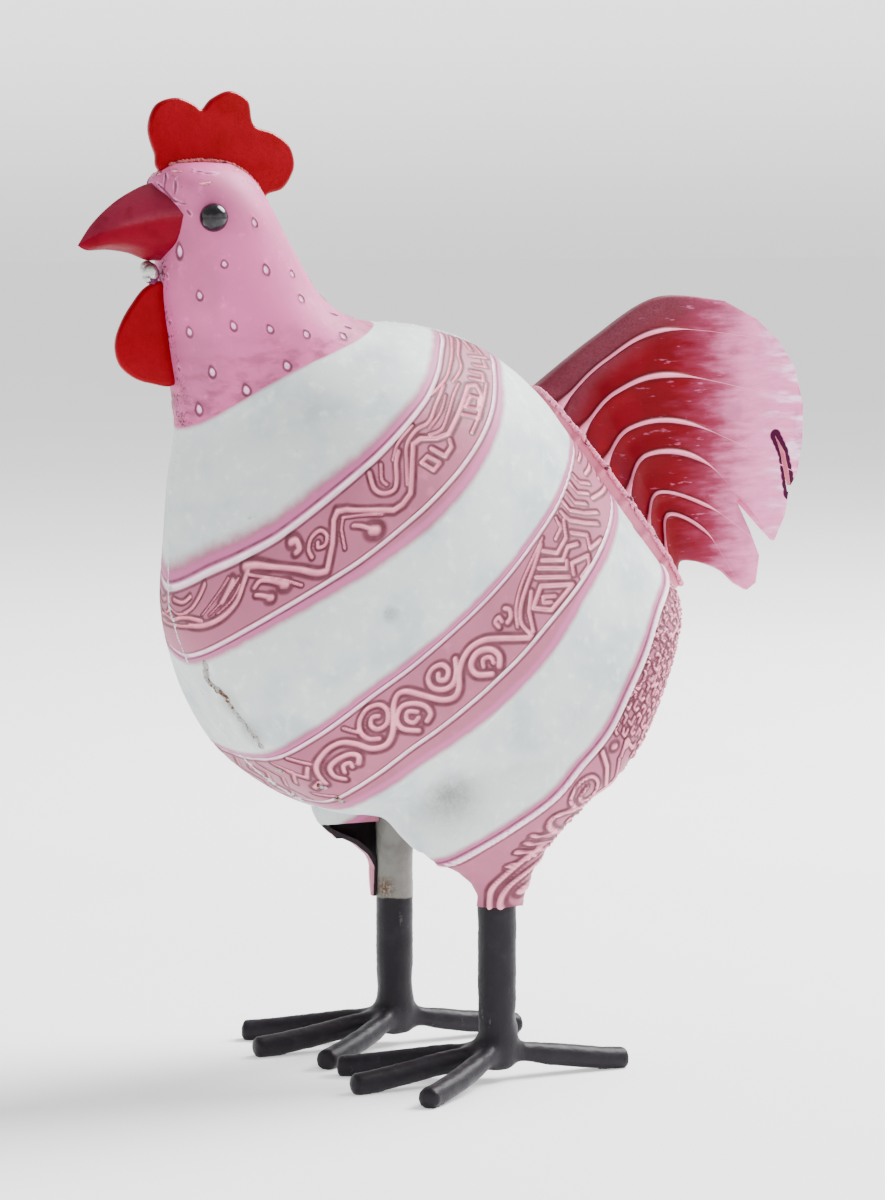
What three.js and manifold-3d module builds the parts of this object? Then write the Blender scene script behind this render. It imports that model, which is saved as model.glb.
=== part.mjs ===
// A standing cockerel in painted sheet metal: a hollow body and neck of two stamped halves, a beak,
// cut plates for comb and wattle, a ribbed tail, glass-bead eyes and legs of tube with rod toes.
// Millimetres, +Z up, beak towards -X, toes on z = 0.

import * as THREE from 'three';
import Module from 'manifold-3d';
import { mergeVertices } from 'three/addons/utils/BufferGeometryUtils.js';

const wasm = await Module();
wasm.setup();

// Driving sizes
const HEIGHT = 314; // floor to the top of the comb
const GAP = 0.3; // clearance between pieces that touch
const LEG_DIAMETER = 12.5;
const LEG_SPACING = 71; // between the two legs' centre lines
const LEG_X = 0.8; // the legs' place along the body
const LEG_FOOT = 3.2; // the tube's open end above the floor
const TOE_DIAMETER = 7.5;
const TOE_REACH = 52; // a leg's centre line to a front toe's end
const REAR_TOE_REACH = 48;
const TOE_SPREAD = 36.5; // degrees between neighbouring front toes
const TOE_DROP = 6.5; // how far a toe slopes down from the ankle
const TOE_FLAT = 0.7; // what is worn off a toe where it stands
const SHEET = 1.25; // the body's sheet where it wraps round a leg
const COMB_THICKNESS = 3.2;
const WATTLE_THICKNESS = 3;
const PLATE_EDGE = 0.9; // rounding of the plates' cut edges
const EYE_DIAMETER = 8.9;
const SOLDER_DIAMETER = 5.2;
const TAIL_THICKNESS = 15; // through both sheets of the tail at their fullest
const TAIL_ROOT_SWELL = 1.35; // the sheets spread where they meet the back
const TAIL_EDGE = 2.2; // where the tail's two sheets meet
const TAIL_SLIT = 1.8; // width of the slit beside the longest feather
const RIB_HEIGHT = 0.9; // raised lines on the bands
const RIB_WIDTH = 2.2;
const TAIL_RIB_HEIGHT = 1.3;

// The free form is drawn for a bird of this height and follows HEIGHT in proportion
const DRAWN_HEIGHT = 314;
const SHARE = HEIGHT / DRAWN_HEIGHT;

// Sections from the crown to the rump. Each spans from the front middle line to the back one:
// frontX, frontZ, backX, backZ, half width, place of the widest point, front and back roundness
const SECTIONS = [
  [-95.5, 291.2, -76, 291, 7, 0.5, 2, 2],
  [-99.5, 288.9, -71, 288.3, 12, 0.5, 2, 2],
  [-102, 284.8, -67, 284.3, 15.8, 0.5, 2, 2],
  [-100.3, 278, -63, 277.4, 18.6, 0.5, 2, 2],
  [-99.2, 268, -58, 268, 20, 0.5, 2, 2],
  [-99.2, 258, -52.3, 258.5, 21, 0.5, 2, 2],
  [-98.9, 248, -46.8, 250.5, 22.2, 0.5, 1.9, 2],
  [-97, 235, -38, 244, 24, 0.5, 1.8, 2],
  [-93.2, 209, -28, 241.4, 28, 0.5, 1.8, 2],
  [-95.7, 189, -15, 240.5, 38, 0.52, 1.7, 1.8],
  [-97, 158, -2, 238, 48.5, 0.52, 1.7, 1.7],
  [-94.8, 146.5, 11, 233.5, 50.5, 0.51, 2, 1.7],
  [-90.5, 135.5, 22.5, 226, 51.8, 0.5, 2.4, 1.8],
  [-84, 122.5, 33, 217, 52.5, 0.48, 2.8, 1.85],
  [-75.5, 109, 40, 208.5, 52.5, 0.46, 3, 1.9],
  [-67.5, 100.5, 47, 200.5, 52.2, 0.44, 3.1, 1.9],
  [-56.5, 92.5, 55, 190, 51.6, 0.43, 3.1, 1.95],
  [-44.5, 86.5, 62.5, 179.5, 50.8, 0.42, 3, 2],
  [-31, 83.8, 70.5, 170, 49.8, 0.4, 2.7, 2],
  [-16, 82.8, 78, 160.5, 48.5, 0.38, 2.5, 2],
  [-2, 82.5, 83, 151.5, 47.5, 0.36, 2.4, 2],
  [5, 82, 79, 139, 46.5, 0.4, 2.4, 2],
  [9, 81.7, 72, 125, 45, 0.45, 2.4, 2.1],
  [12, 81.5, 64.5, 111.5, 42.5, 0.5, 2.4, 2.2],
  [15, 81.4, 57, 100, 38, 0.5, 2.4, 2.2],
  [18, 81.3, 46, 90.5, 29, 0.5, 2.3, 2.2],
  [20, 81.2, 34.5, 84.5, 15, 0.5, 2, 2],
];
const CROWN = [-85.5, 292];
const RUMP = [27.5, 82.2];

// Bands of relief, as the numbers of the sections where their edge ribs run. On the flanks the
// bands bow towards the head, by a share of the step between two sections
const BANDS = [
  { upper: 10, lower: 12 },
  { upper: 15, lower: 17 },
  { upper: 20, lower: 21.6 },
];
const BOW = 0.45;
const BOWED = [6, 24]; // the sections between which lines bow, most of all half-way
const SEGMENTS_PER_HALF = 18;
const DENSE_STEPS = 160;

// The thighs, from the sheet's hem on the leg up into the flank: height, front, rear, outer and
// inner side. The hem follows the leg, and the rest the body
const THIGH_HEM = { left: 56.5, right: 50 };
const THIGH = [
  [60, -6.6, 9.4, 43.9, 29],
  [64, -9, 10.6, 44.2, 30],
  [68, -14, 13, 44.6, 29.5],
  [72, -23, 16.5, 45, 27],
  [76, -28, 21, 45.6, 21],
  [80, -31, 26, 47, 13],
  [85, -33, 33, 48.2, 7],
  [92, -34, 40, 49.2, 5],
  [102, -31, 45, 49, 5],
];
const THIGH_ROUNDNESS = 2.3;
const THIGH_SEGMENTS = 26;
const BELLY = 75; // the underside between the thighs, which are open towards each other below it
const LEG_TOP = 86;

// Head pieces in the middle plane, as x and z
const COMB_OUTLINE = [
  [-97, 287], [-101.3, 294.5], [-103.4, 302.5], [-100.6, 309.5], [-94, 311.7], [-88.3, 310],
  [-85.2, 308.2], [-81.6, 311.6], [-75.4, 314], [-69.3, 311], [-67.3, 303.6], [-60.5, 301.1],
  [-54.9, 297], [-53.3, 290.3], [-57, 283.8], [-63, 281.4], [-66, 276],
];
const WATTLE_OUTLINE = [
  [-99, 254.6], [-104.4, 253.2], [-109, 248.2], [-113, 241.9], [-115, 235.6], [-113.7, 229.2],
  [-109, 225], [-103, 223], [-95, 222.6], [-92, 232], [-96, 247],
];
const PLATE_POINTS = 2; // curve points for each outline point
// Beak sections: top x and z, side x, z and half width, bottom x and z
const BEAK_TIP = [-127.3, 266];
const BEAK = [
  [-122.6, 272.6, -123, 268.6, 2.6, -124.2, 264.5],
  [-116, 278.6, -116, 271.6, 6, -117.5, 264.6],
  [-109.5, 282.6, -108.5, 273.6, 8.6, -110.5, 263.6],
  [-103, 285.2, -101, 275.2, 10.8, -104.2, 261.4],
  [-96, 285.5, -94, 275.6, 11.4, -98, 261.4],
];
const EYE = [-89.6, 18.4, 274.6];
const SOLDER = [-103, 0, 258.2];

// Tail lines from the root outwards, with the two points that each rib passes and its share of
// the root line. The rim has more points than the tail has ribs
const TAIL_ROOT = [[33, 219], [88, 152.5]];
const TAIL_ROOT_DEPTH = 4; // how far the root is carried into the back before it is trimmed
const TAIL_LINES = [
  { root: 0, via: [[56, 235], [80, 248.2]] },
  { root: 0.18, via: [[57, 227.5], [82, 237.6]] },
  { root: 0.35, via: [[61, 217.5], [86, 222.5]] },
  { root: 0.53, via: [[66, 205.6], [91, 206.2]] },
  { root: 0.68, via: [[72, 196.5], [96, 193.6]] },
  { root: 0.84, via: [[77, 184], [98, 178.6]] },
  { root: 0.93, via: [[81.5, 176.5], [97.5, 170]] },
  { root: 1, via: [[88.5, 160], [94.5, 160.3]] },
];
// Rim points: place among the lines, x, z
const TAIL_RIM = [
  [0, 105.5, 246.8], [0.5, 118, 240.8], [1, 127.3, 233], [1.5, 133.3, 224.4], [2, 136.8, 212],
  [2.5, 136.6, 199.5], [3, 134.6, 188.6], [3.3, 131.4, 183.6], [3.6, 130, 175], [3.9, 125.7, 166.2],
  [4.2, 119.4, 174.4], [4.5, 113.8, 181.4], [4.7, 110.8, 180], [4.9, 116, 170], [5.2, 119.8, 161.4],
  [5.5, 118.5, 152.3], [5.8, 115, 150], [6.1, 110.6, 152.3], [6.5, 106, 156.4], [7, 101.2, 158.6],
];
const TAIL_ROWS = 8;
const TAIL_RIB_HALF = 0.13; // half the width of a rib, as a share of the place between two lines
const TAIL_RIB_END = 0.72; // where a rib fades out on its way to the rim
const SLIT = [[125.2, 201.5], [128.2, 196], [131.6, 182.5]];

const RED = { color: 0xa50a20, roughness: 0.32, metalness: 0.1 };
const FINISHES = {
  body: { color: 0xd9e0e2, roughness: 0.55, metalness: 0.1 },
  beak: { color: 0xb02436, roughness: 0.45, metalness: 0.1 },
  comb: RED,
  wattle: RED,
  tail: { color: 0xa01430, roughness: 0.5, metalness: 0.1 },
  solder: { color: 0xa8a8a8, roughness: 0.3, metalness: 1 },
  eye: { color: 0x101014, roughness: 0.08, metalness: 0 },
  leg: { color: 0x26262b, roughness: 0.5, metalness: 0.2 },
};

const scaled = (values) => values.map((value) => value * SHARE);
const middle = ([x, z]) => new THREE.Vector3(x * SHARE, 0, z * SHARE);
const mix = THREE.MathUtils.lerp;
const mirrored = (point) => new THREE.Vector3(point.x, -point.y, point.z);

// Solids

function toSolid(geometry) {
  geometry.deleteAttribute('normal');
  geometry.deleteAttribute('uv');
  const merged = mergeVertices(geometry, 1e-4);
  const vertProperties = new Float32Array(merged.attributes.position.array);
  const triVerts = new Uint32Array(merged.index.array);
  return new wasm.Manifold(new wasm.Mesh({ numProp: 3, vertProperties, triVerts }));
}

function toGeometry(solid) {
  const { vertProperties, triVerts } = solid.getMesh();
  const geometry = new THREE.BufferGeometry();
  geometry.setAttribute('position', new THREE.BufferAttribute(vertProperties, 3));
  geometry.setIndex(new THREE.BufferAttribute(triVerts, 1));
  geometry.computeVertexNormals();
  return geometry;
}

// A closed skin over rings of equal length, with a point closing each end
function loft(rings, firstPole, lastPole) {
  const count = rings[0].length;
  const points = [...rings.flat(), firstPole, lastPole];
  const [first, last] = [points.length - 2, points.length - 1];
  const faces = [];
  for (let row = 0; row + 1 < rings.length; row += 1) {
    for (let i = 0; i < count; i += 1) {
      const next = (i + 1) % count;
      const [a, b] = [row * count + i, row * count + next];
      faces.push(a, b, b + count, a, b + count, a + count);
    }
  }
  const end = (rings.length - 1) * count;
  for (let i = 0; i < count; i += 1) {
    const next = (i + 1) % count;
    faces.push(next, i, first, end + i, end + next, last);
  }
  return closedSolid(points, faces);
}

// A solid from a closed skin whose faces all turn the same way, outwards or inwards
function closedSolid(points, faces) {
  if (signedVolume(points, faces) < 0) faces.reverse();
  const geometry = new THREE.BufferGeometry().setFromPoints(points);
  geometry.setIndex(faces);
  return toSolid(geometry);
}

function signedVolume(points, faces) {
  let volume = 0;
  for (let i = 0; i < faces.length; i += 3) {
    const [a, b, c] = [points[faces[i]], points[faces[i + 1]], points[faces[i + 2]]];
    volume += a.dot(new THREE.Vector3().crossVectors(b, c)) / 6;
  }
  return volume;
}

// A smooth value between the rows of a table, at a fractional row number
function between(table, place) {
  const last = table.length - 1;
  const low = Math.min(Math.max(Math.floor(place), 0), last - 1);
  const t = place - low;
  const rows = [low - 1, low, low + 1, low + 2].map((i) => table[Math.min(Math.max(i, 0), last)]);
  return rows[0].map((_, k) => {
    const [p, q, r, s] = rows.map((row) => row[k]);
    const bend = 2 * p - 5 * q + 4 * r - s + (3 * (q - r) + s - p) * t;
    return q + 0.5 * t * (r - p + t * bend);
  });
}

// Body

// How far lines bow at a section, in steps between sections
function bow(place) {
  const share = THREE.MathUtils.clamp((place - BOWED[0]) / (BOWED[1] - BOWED[0]), 0, 1);
  return BOW * Math.sin(Math.PI * share) ** 0.5;
}

// One half of a section as x, y, z at equal steps from the front middle line to the back one
function halfSection(place, grow) {
  const [fx, fz, bx, bz, half, widest, frontPower, backPower] = between(SECTIONS, place);
  const front = middle([fx, fz]);
  const back = middle([bx, bz]);
  const length = front.distanceTo(back) + 2 * grow;
  const along = back.clone().sub(front).normalize();
  front.addScaledVector(along, -grow);
  const width = half * SHARE + grow;
  const dense = [];
  for (let i = 0; i <= DENSE_STEPS; i += 1) {
    const angle = (Math.PI * i) / DENSE_STEPS;
    const power = angle < Math.PI / 2 ? frontPower : backPower;
    const reach = angle < Math.PI / 2 ? widest : 1 - widest;
    const cosine = Math.cos(angle);
    const run = widest - Math.sign(cosine) * reach * Math.abs(cosine) ** (2 / power);
    const side = width * Math.abs(Math.sin(angle)) ** (2 / power);
    const point = front.clone().addScaledVector(along, run * length);
    point.y = -side;
    dense.push(point);
  }
  const travelled = [0];
  for (let i = 1; i < dense.length; i += 1) {
    travelled.push(travelled[i - 1] + dense[i].distanceTo(dense[i - 1]));
  }
  const points = [];
  let at = 0;
  for (let i = 0; i <= SEGMENTS_PER_HALF; i += 1) {
    const goal = (travelled[DENSE_STEPS] * i) / SEGMENTS_PER_HALF;
    while (at < DENSE_STEPS - 1 && travelled[at + 1] < goal) at += 1;
    const t = (goal - travelled[at]) / (travelled[at + 1] - travelled[at]);
    points.push(dense[at].clone().lerp(dense[at + 1], t));
  }
  return points;
}

// The whole ring, with each point raised off the skin by height(index)
function bodyRing(place, grow, height = () => 0) {
  const straight = halfSection(place, grow);
  const centre = straight[0].clone().lerp(straight[SEGMENTS_PER_HALF], 0.5);
  const half = straight.map((_, i) => {
    const side = Math.sin((Math.PI * i) / SEGMENTS_PER_HALF) ** 2;
    return halfSection(place - bow(place) * side, grow)[i];
  });
  half.forEach((point, i) => {
    const out = point.clone().sub(centre).normalize();
    point.addScaledVector(out, height(i));
  });
  half[0].y = 0;
  half[SEGMENTS_PER_HALF].y = 0;
  return [...half, ...half.slice(1, -1).reverse().map(mirrored)];
}

// Rows of the skin: plain ones, and in each band two edge ribs with a running zigzag between them
function bodyRows() {
  const rows = [];
  const plain = (place) => rows.push({ place });
  const rib = (place, width) => {
    plain(place - width);
    rows.push({ place, height: () => RIB_HEIGHT });
    plain(place + width);
  };
  let place = 0;
  for (const { upper, lower } of BANDS) {
    const step = halfSection(upper, 0)[0].distanceTo(halfSection(lower, 0)[0]) / (lower - upper);
    const width = (RIB_WIDTH / 2) * (1 / step);
    for (; place < upper - 2 * width; place += 1) plain(place);
    rib(upper, width);
    [1, 0].forEach((odd, k) => {
      const height = (i) => (i % 2 === odd ? RIB_HEIGHT : 0);
      rows.push({ place: mix(upper, lower, (k + 1) / 3), height });
    });
    rib(lower, width);
    place = Math.ceil(lower + 2 * width);
  }
  for (; place < SECTIONS.length; place += 1) plain(place);
  return rows;
}

// The body a little larger, to trim what is welded on to it
function bodyCutter() {
  const rings = bodyRows().map(({ place, height }) => bodyRing(place, GAP, height));
  const crown = middle(CROWN).add(new THREE.Vector3(0, 0, GAP));
  const rump = middle(RUMP).sub(new THREE.Vector3(0, 0, GAP));
  return loft(rings, crown, rump);
}

// A horizontal ring of a thigh at a height, with its sheet's inner face where inset is given
function thighRing(height, side, inset = 0) {
  const hemRadius = LEG_DIAMETER / 2 + GAP + SHEET;
  const legY = LEG_SPACING / 2;
  const hem = [hemHeight(side), LEG_X - hemRadius, LEG_X + hemRadius, legY + hemRadius, legY - hemRadius];
  const table = [hem, ...THIGH.map(scaled)];
  let low = 0;
  while (low < table.length - 2 && table[low + 1][0] < height) low += 1;
  const t = THREE.MathUtils.clamp((height - table[low][0]) / (table[low + 1][0] - table[low][0]), 0, 1);
  const [, front, rear, outer, inner] = table[low].map((value, k) => mix(value, table[low + 1][k], t));
  const centre = [(front + rear) / 2, (outer + inner) / 2];
  const halves = [(rear - front) / 2 - inset, (outer - inner) / 2 - inset];
  const ring = [];
  for (let i = 0; i < THIGH_SEGMENTS; i += 1) {
    const angle = (2 * Math.PI * i) / THIGH_SEGMENTS;
    const [c, s] = [Math.cos(angle), Math.sin(angle)];
    const x = Math.sign(c) * Math.abs(c) ** (2 / THIGH_ROUNDNESS);
    const y = Math.sign(s) * Math.abs(s) ** (2 / THIGH_ROUNDNESS);
    ring.push([centre[0] + halves[0] * x, centre[1] + halves[1] * y]);
  }
  return ring.map(([x, y]) => new THREE.Vector3(x, side * y, height + inset));
}

const hemHeight = (side) => (side < 0 ? THIGH_HEM.left : THIGH_HEM.right) * SHARE;
const thighHeights = (side) => [hemHeight(side), ...THIGH.map((row) => row[0] * SHARE)];

function capped(rings) {
  const mean = (ring) => ring.reduce((sum, point) => sum.add(point), new THREE.Vector3())
    .divideScalar(ring.length);
  return loft(rings, mean(rings[0]), mean(rings[rings.length - 1]));
}

function thigh(side) {
  return capped(thighHeights(side).map((height) => thighRing(height, side)));
}

// The inside of a thigh, with the bore that the leg passes up through
function thighHollow(side) {
  const heights = thighHeights(side).filter((height) => height < BELLY * SHARE);
  const rings = heights.map((height) => thighRing(height, side, SHEET));
  const below = rings[0].map((point) => point.clone().setZ(hemHeight(side) - SHEET));
  return capped([below, ...rings]).add(legTube(side, GAP));
}

// The space between the legs, which leaves each thigh as a half shell round the outer side
function betweenLegs() {
  const [length, width, height] = [HEIGHT, LEG_SPACING + 2 * GAP, BELLY * SHARE];
  const block = new THREE.BoxGeometry(length, width, height);
  block.translate(0, 0, height / 2);
  return toSolid(block);
}

function legTube(side, grow) {
  const low = LEG_FOOT - grow;
  const high = LEG_TOP * SHARE + grow;
  const tube = new THREE.CylinderGeometry(LEG_DIAMETER / 2 + grow, LEG_DIAMETER / 2 + grow, high - low, 24);
  tube.rotateX(Math.PI / 2);
  tube.translate(LEG_X, (side * LEG_SPACING) / 2, (high + low) / 2);
  return toSolid(tube);
}

function body() {
  const rings = bodyRows().map(({ place, height }) => bodyRing(place, 0, height));
  let solid = loft(rings, middle(CROWN), middle(RUMP));
  for (const side of [-1, 1]) solid = solid.add(thigh(side));
  for (const side of [-1, 1]) solid = solid.subtract(thighHollow(side));
  return solid.subtract(betweenLegs());
}

// Head pieces

// A flat plate in the middle plane with rounded edges
function plate(outline, thickness) {
  const curve = new THREE.CatmullRomCurve3(outline.map(middle), true, 'centripetal');
  const points = curve.getPoints(outline.length * PLATE_POINTS).slice(0, -1);
  const shape = new THREE.Shape(points.map((point) => new THREE.Vector2(point.x, point.z)));
  const geometry = new THREE.ExtrudeGeometry(shape, {
    depth: thickness - 2 * PLATE_EDGE,
    bevelThickness: PLATE_EDGE,
    bevelSize: PLATE_EDGE,
    bevelOffset: -PLATE_EDGE,
    bevelSegments: 2,
  });
  geometry.translate(0, 0, PLATE_EDGE - thickness / 2);
  geometry.rotateX(Math.PI / 2);
  return toSolid(geometry);
}

// A folded beak: a ridge on top, a crease along each side and a flatter underside
function beak() {
  const rings = BEAK.map((row) => {
    const [topX, topZ, sideX, sideZ, half, lowX, lowZ] = scaled(row);
    const ring = [];
    for (const side of [-1, 1]) {
      const arc = [
        [topX, 0, topZ],
        [mix(topX, sideX, 0.5), half * 0.62, mix(topZ, sideZ, 0.42)],
        [sideX, half, sideZ],
        [mix(sideX, lowX, 0.5), half * 0.7, mix(sideZ, lowZ, 0.62)],
        [lowX, 0, lowZ],
      ];
      const kept = side < 0 ? arc : arc.slice(1, -1).reverse();
      ring.push(...kept.map(([x, y, z]) => new THREE.Vector3(x, side * y, z)));
    }
    return ring;
  });
  const last = BEAK[BEAK.length - 1];
  return loft(rings, middle(BEAK_TIP), middle([last[0] + 1, (last[1] + last[6]) / 2]));
}

function ball(diameter, [x, y, z]) {
  const geometry = new THREE.SphereGeometry(diameter / 2, 16, 10);
  geometry.rotateX(Math.PI / 2);
  geometry.translate(x * SHARE, y * SHARE, z * SHARE);
  return toSolid(geometry);
}

// Tail

// A point of the tail's middle surface: place counts the lines, run goes from root to rim
function tailPoint(place, run) {
  const roots = TAIL_LINES.map((line) => [line.root]);
  const share = between(roots, place)[0];
  const [rootTop, rootLow] = TAIL_ROOT;
  const root = [mix(rootTop[0], rootLow[0], share), mix(rootTop[1], rootLow[1], share)];
  const inner = between(TAIL_LINES.map((line) => line.via[0]), place);
  const outer = between(TAIL_LINES.map((line) => line.via[1]), place);
  let next = 1;
  while (next < TAIL_RIM.length - 1 && TAIL_RIM[next][0] < place) next += 1;
  const [low, high] = [TAIL_RIM[next - 1], TAIL_RIM[next]];
  const t = (place - low[0]) / (high[0] - low[0]);
  const rim = [mix(low[1], high[1], t), mix(low[2], high[2], t)];
  return between([root, inner, outer, rim], run * 3);
}

function tailPlaces() {
  const places = TAIL_RIM.map(([place]) => place);
  for (let line = 1; line + 1 < TAIL_LINES.length; line += 1) {
    places.push(line - TAIL_RIB_HALF, line, line + TAIL_RIB_HALF);
  }
  return [...new Set(places.map((place) => place.toFixed(2)))].map(Number).sort((a, b) => a - b);
}

// Half the tail's thickness: full near the root, thin at the rim and at both outer lines
function tailHalf(place, run) {
  const across = Math.sin((Math.PI * place) / (TAIL_LINES.length - 1)) ** 0.5;
  const outwards = (1 - run ** 2) * mix(TAIL_ROOT_SWELL, 1, Math.min(1, run * 4));
  const full = TAIL_THICKNESS / 2 - TAIL_EDGE / 2;
  const line = Math.round(place);
  const onRib = Math.abs(place - line) < 1e-6 && line > 0 && line + 1 < TAIL_LINES.length;
  const rib = onRib && run > 0 && run < TAIL_RIB_END ? TAIL_RIB_HEIGHT : 0;
  return TAIL_EDGE / 2 + full * across * outwards + rib;
}

function tail() {
  const places = tailPlaces();
  const [rootTop, rootLow] = TAIL_ROOT.map(middle);
  const inwards = new THREE.Vector3(rootLow.z - rootTop.z, 0, rootTop.x - rootLow.x).normalize();
  const rows = [];
  for (let row = -1; row <= TAIL_ROWS; row += 1) {
    const run = Math.max(row, 0) / TAIL_ROWS;
    rows.push(places.map((place) => {
      const point = middle(tailPoint(place, run));
      if (row < 0) point.addScaledVector(inwards, TAIL_ROOT_DEPTH);
      return point.setY(-tailHalf(place, run));
    }));
  }
  return twoSheets(rows).subtract(slit());
}

// A solid between a sheet of points and its mirror image, closed all round by a narrow edge
function twoSheets(rows) {
  const [height, width] = [rows.length, rows[0].length];
  const near = rows.flat();
  const points = [...near, ...near.map(mirrored)];
  const faces = [];
  const strip = (a, b) => faces.push(a, b, b + near.length, a, b + near.length, a + near.length);
  for (let row = 0; row + 1 < height; row += 1) {
    for (let i = 0; i + 1 < width; i += 1) {
      const [a, b] = [row * width + i, (row + 1) * width + i];
      const quad = [a, a + 1, b + 1, a, b + 1, b];
      faces.push(...quad, ...quad.map((corner) => corner + near.length).reverse());
    }
    strip(row * width, (row + 1) * width);
    strip((row + 2) * width - 1, (row + 1) * width - 1);
  }
  for (let i = 0; i + 1 < width; i += 1) {
    strip(i + 1, i);
    strip((height - 1) * width + i, (height - 1) * width + i + 1);
  }
  return closedSolid(points, faces);
}

// The slit tapers to a point at its inner end
function slit() {
  const [inner, bend, outer] = SLIT.map(middle);
  const shape = new THREE.Shape([
    new THREE.Vector2(inner.x, inner.z),
    new THREE.Vector2(bend.x + TAIL_SLIT / 2, bend.z),
    new THREE.Vector2(outer.x + TAIL_SLIT / 2, outer.z),
    new THREE.Vector2(outer.x - TAIL_SLIT / 2, outer.z),
    new THREE.Vector2(bend.x - TAIL_SLIT / 2, bend.z),
  ]);
  const geometry = new THREE.ExtrudeGeometry(shape, { depth: 2 * TAIL_THICKNESS, bevelEnabled: false });
  geometry.translate(0, 0, -TAIL_THICKNESS);
  geometry.rotateX(Math.PI / 2);
  return toSolid(geometry);
}

// Feet

// A block that holds everything on one side of a vertical plane through the leg, turned by angle
function sideOf(angle, sign, legY) {
  const size = 4 * TOE_REACH;
  const block = new THREE.BoxGeometry(size, size, size);
  block.translate(0, sign * (size / 2 + GAP / 2), 0);
  block.rotateZ(THREE.MathUtils.degToRad(angle));
  block.translate(LEG_X, legY, 0);
  return toSolid(block);
}

// A sloping rod with a rounded end, trimmed at the leg, at its neighbours and flat at the floor
function toe(side, turn, reach, neighbours) {
  const radius = TOE_DIAMETER / 2;
  const start = new THREE.Vector3(0, 0, radius + TOE_DROP);
  const end = new THREE.Vector3(-reach, 0, radius - TOE_FLAT);
  const length = start.distanceTo(end);
  const profile = [
    [0, 0], [radius, 0], [radius, length - radius * 0.45], [radius * 0.86, length - radius * 0.14],
    [radius * 0.55, length], [0, length],
  ];
  const rod = new THREE.LatheGeometry(profile.map(([x, y]) => new THREE.Vector2(x, y)), 18);
  const up = new THREE.Vector3(0, 1, 0);
  rod.applyQuaternion(new THREE.Quaternion().setFromUnitVectors(up, end.clone().sub(start).normalize()));
  rod.translate(start.x, start.y, start.z);
  rod.rotateZ(THREE.MathUtils.degToRad(turn));
  const legY = (side * LEG_SPACING) / 2;
  rod.translate(LEG_X, legY, 0);
  let solid = toSolid(rod).subtract(legTube(side, GAP));
  for (const { angle, sign } of neighbours) solid = solid.intersect(sideOf(angle, sign, legY));
  const floor = new THREE.BoxGeometry(8 * TOE_REACH, 8 * TOE_REACH, TOE_REACH);
  floor.translate(0, 0, -TOE_REACH / 2);
  return solid.subtract(toSolid(floor));
}

// The toes of one foot by name. A turn is counted from straight ahead, towards the left side
function toes(side) {
  const half = TOE_SPREAD / 2;
  const outer = -side * TOE_SPREAD;
  const bound = (turn) => [{ angle: Math.sign(turn) * half, sign: -Math.sign(turn) }];
  return {
    outer: toe(side, outer, TOE_REACH, bound(outer)),
    middle: toe(side, 0, TOE_REACH, [{ angle: half, sign: 1 }, { angle: -half, sign: -1 }]),
    inner: toe(side, -outer, TOE_REACH, bound(-outer)),
    rear: toe(side, 180, REAR_TOE_REACH, []),
  };
}

// The bird

const bird = new THREE.Group();

function put(name, solid, finish) {
  const mesh = new THREE.Mesh(toGeometry(solid), new THREE.MeshStandardMaterial(finish));
  mesh.name = name;
  bird.add(mesh);
}

const welded = bodyCutter();
put('body', body(), FINISHES.body);
put('beak', beak().subtract(welded), FINISHES.beak);
put('throat_solder', ball(SOLDER_DIAMETER, SOLDER).subtract(welded), FINISHES.solder);
put('comb', plate(COMB_OUTLINE, COMB_THICKNESS).subtract(welded), FINISHES.comb);
put('wattle', plate(WATTLE_OUTLINE, WATTLE_THICKNESS).subtract(welded), FINISHES.wattle);
put('tail', tail().subtract(welded), FINISHES.tail);
for (const [name, side] of [['left', -1], ['right', 1]]) {
  const [x, y, z] = EYE;
  put(`${name}_eye`, ball(EYE_DIAMETER, [x, side * y, z]).subtract(welded), FINISHES.eye);
  put(`${name}_leg`, legTube(side, 0), FINISHES.leg);
  for (const [place, solid] of Object.entries(toes(side))) {
    put(`${name}_toe_${place}`, solid, FINISHES.leg);
  }
}

// The origin is on the floor, under the middle of the bird's length
const box = new THREE.Box3().setFromObject(bird);
bird.position.x = -(box.min.x + box.max.x) / 2;

export default bird;
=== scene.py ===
"""A cockerel in painted sheet metal, dressed for its photograph and set up in a pale studio.

Millimetres as drawn, beak towards -X and left side towards -Y, until to_frame() takes them over.
"""

import math

import bmesh
import bpy
import numpy as np
from bpy.props import FloatProperty, IntProperty, PointerProperty
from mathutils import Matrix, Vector


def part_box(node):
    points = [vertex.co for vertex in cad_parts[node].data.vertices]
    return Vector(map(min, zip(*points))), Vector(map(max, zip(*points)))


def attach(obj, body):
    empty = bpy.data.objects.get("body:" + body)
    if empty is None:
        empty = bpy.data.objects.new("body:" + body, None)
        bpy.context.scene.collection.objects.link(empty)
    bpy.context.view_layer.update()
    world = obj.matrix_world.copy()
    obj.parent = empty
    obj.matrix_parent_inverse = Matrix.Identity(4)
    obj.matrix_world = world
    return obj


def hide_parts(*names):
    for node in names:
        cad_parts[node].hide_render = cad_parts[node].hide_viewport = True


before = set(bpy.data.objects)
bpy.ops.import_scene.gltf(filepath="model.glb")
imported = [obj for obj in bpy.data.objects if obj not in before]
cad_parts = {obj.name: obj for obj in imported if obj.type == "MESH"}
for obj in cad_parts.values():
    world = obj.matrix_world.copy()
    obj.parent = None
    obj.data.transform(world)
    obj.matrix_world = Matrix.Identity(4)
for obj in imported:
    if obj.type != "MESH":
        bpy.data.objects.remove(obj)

bl_info = {
    "name": "Painted Cockerel",
    "version": (1, 0, 0),
    "blender": (4, 5, 0),
    "location": "3D View > Sidebar > Cockerel",
    "description": "Builds a painted sheet-metal cockerel over its solid model",
    "category": "Add Mesh",
}

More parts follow.
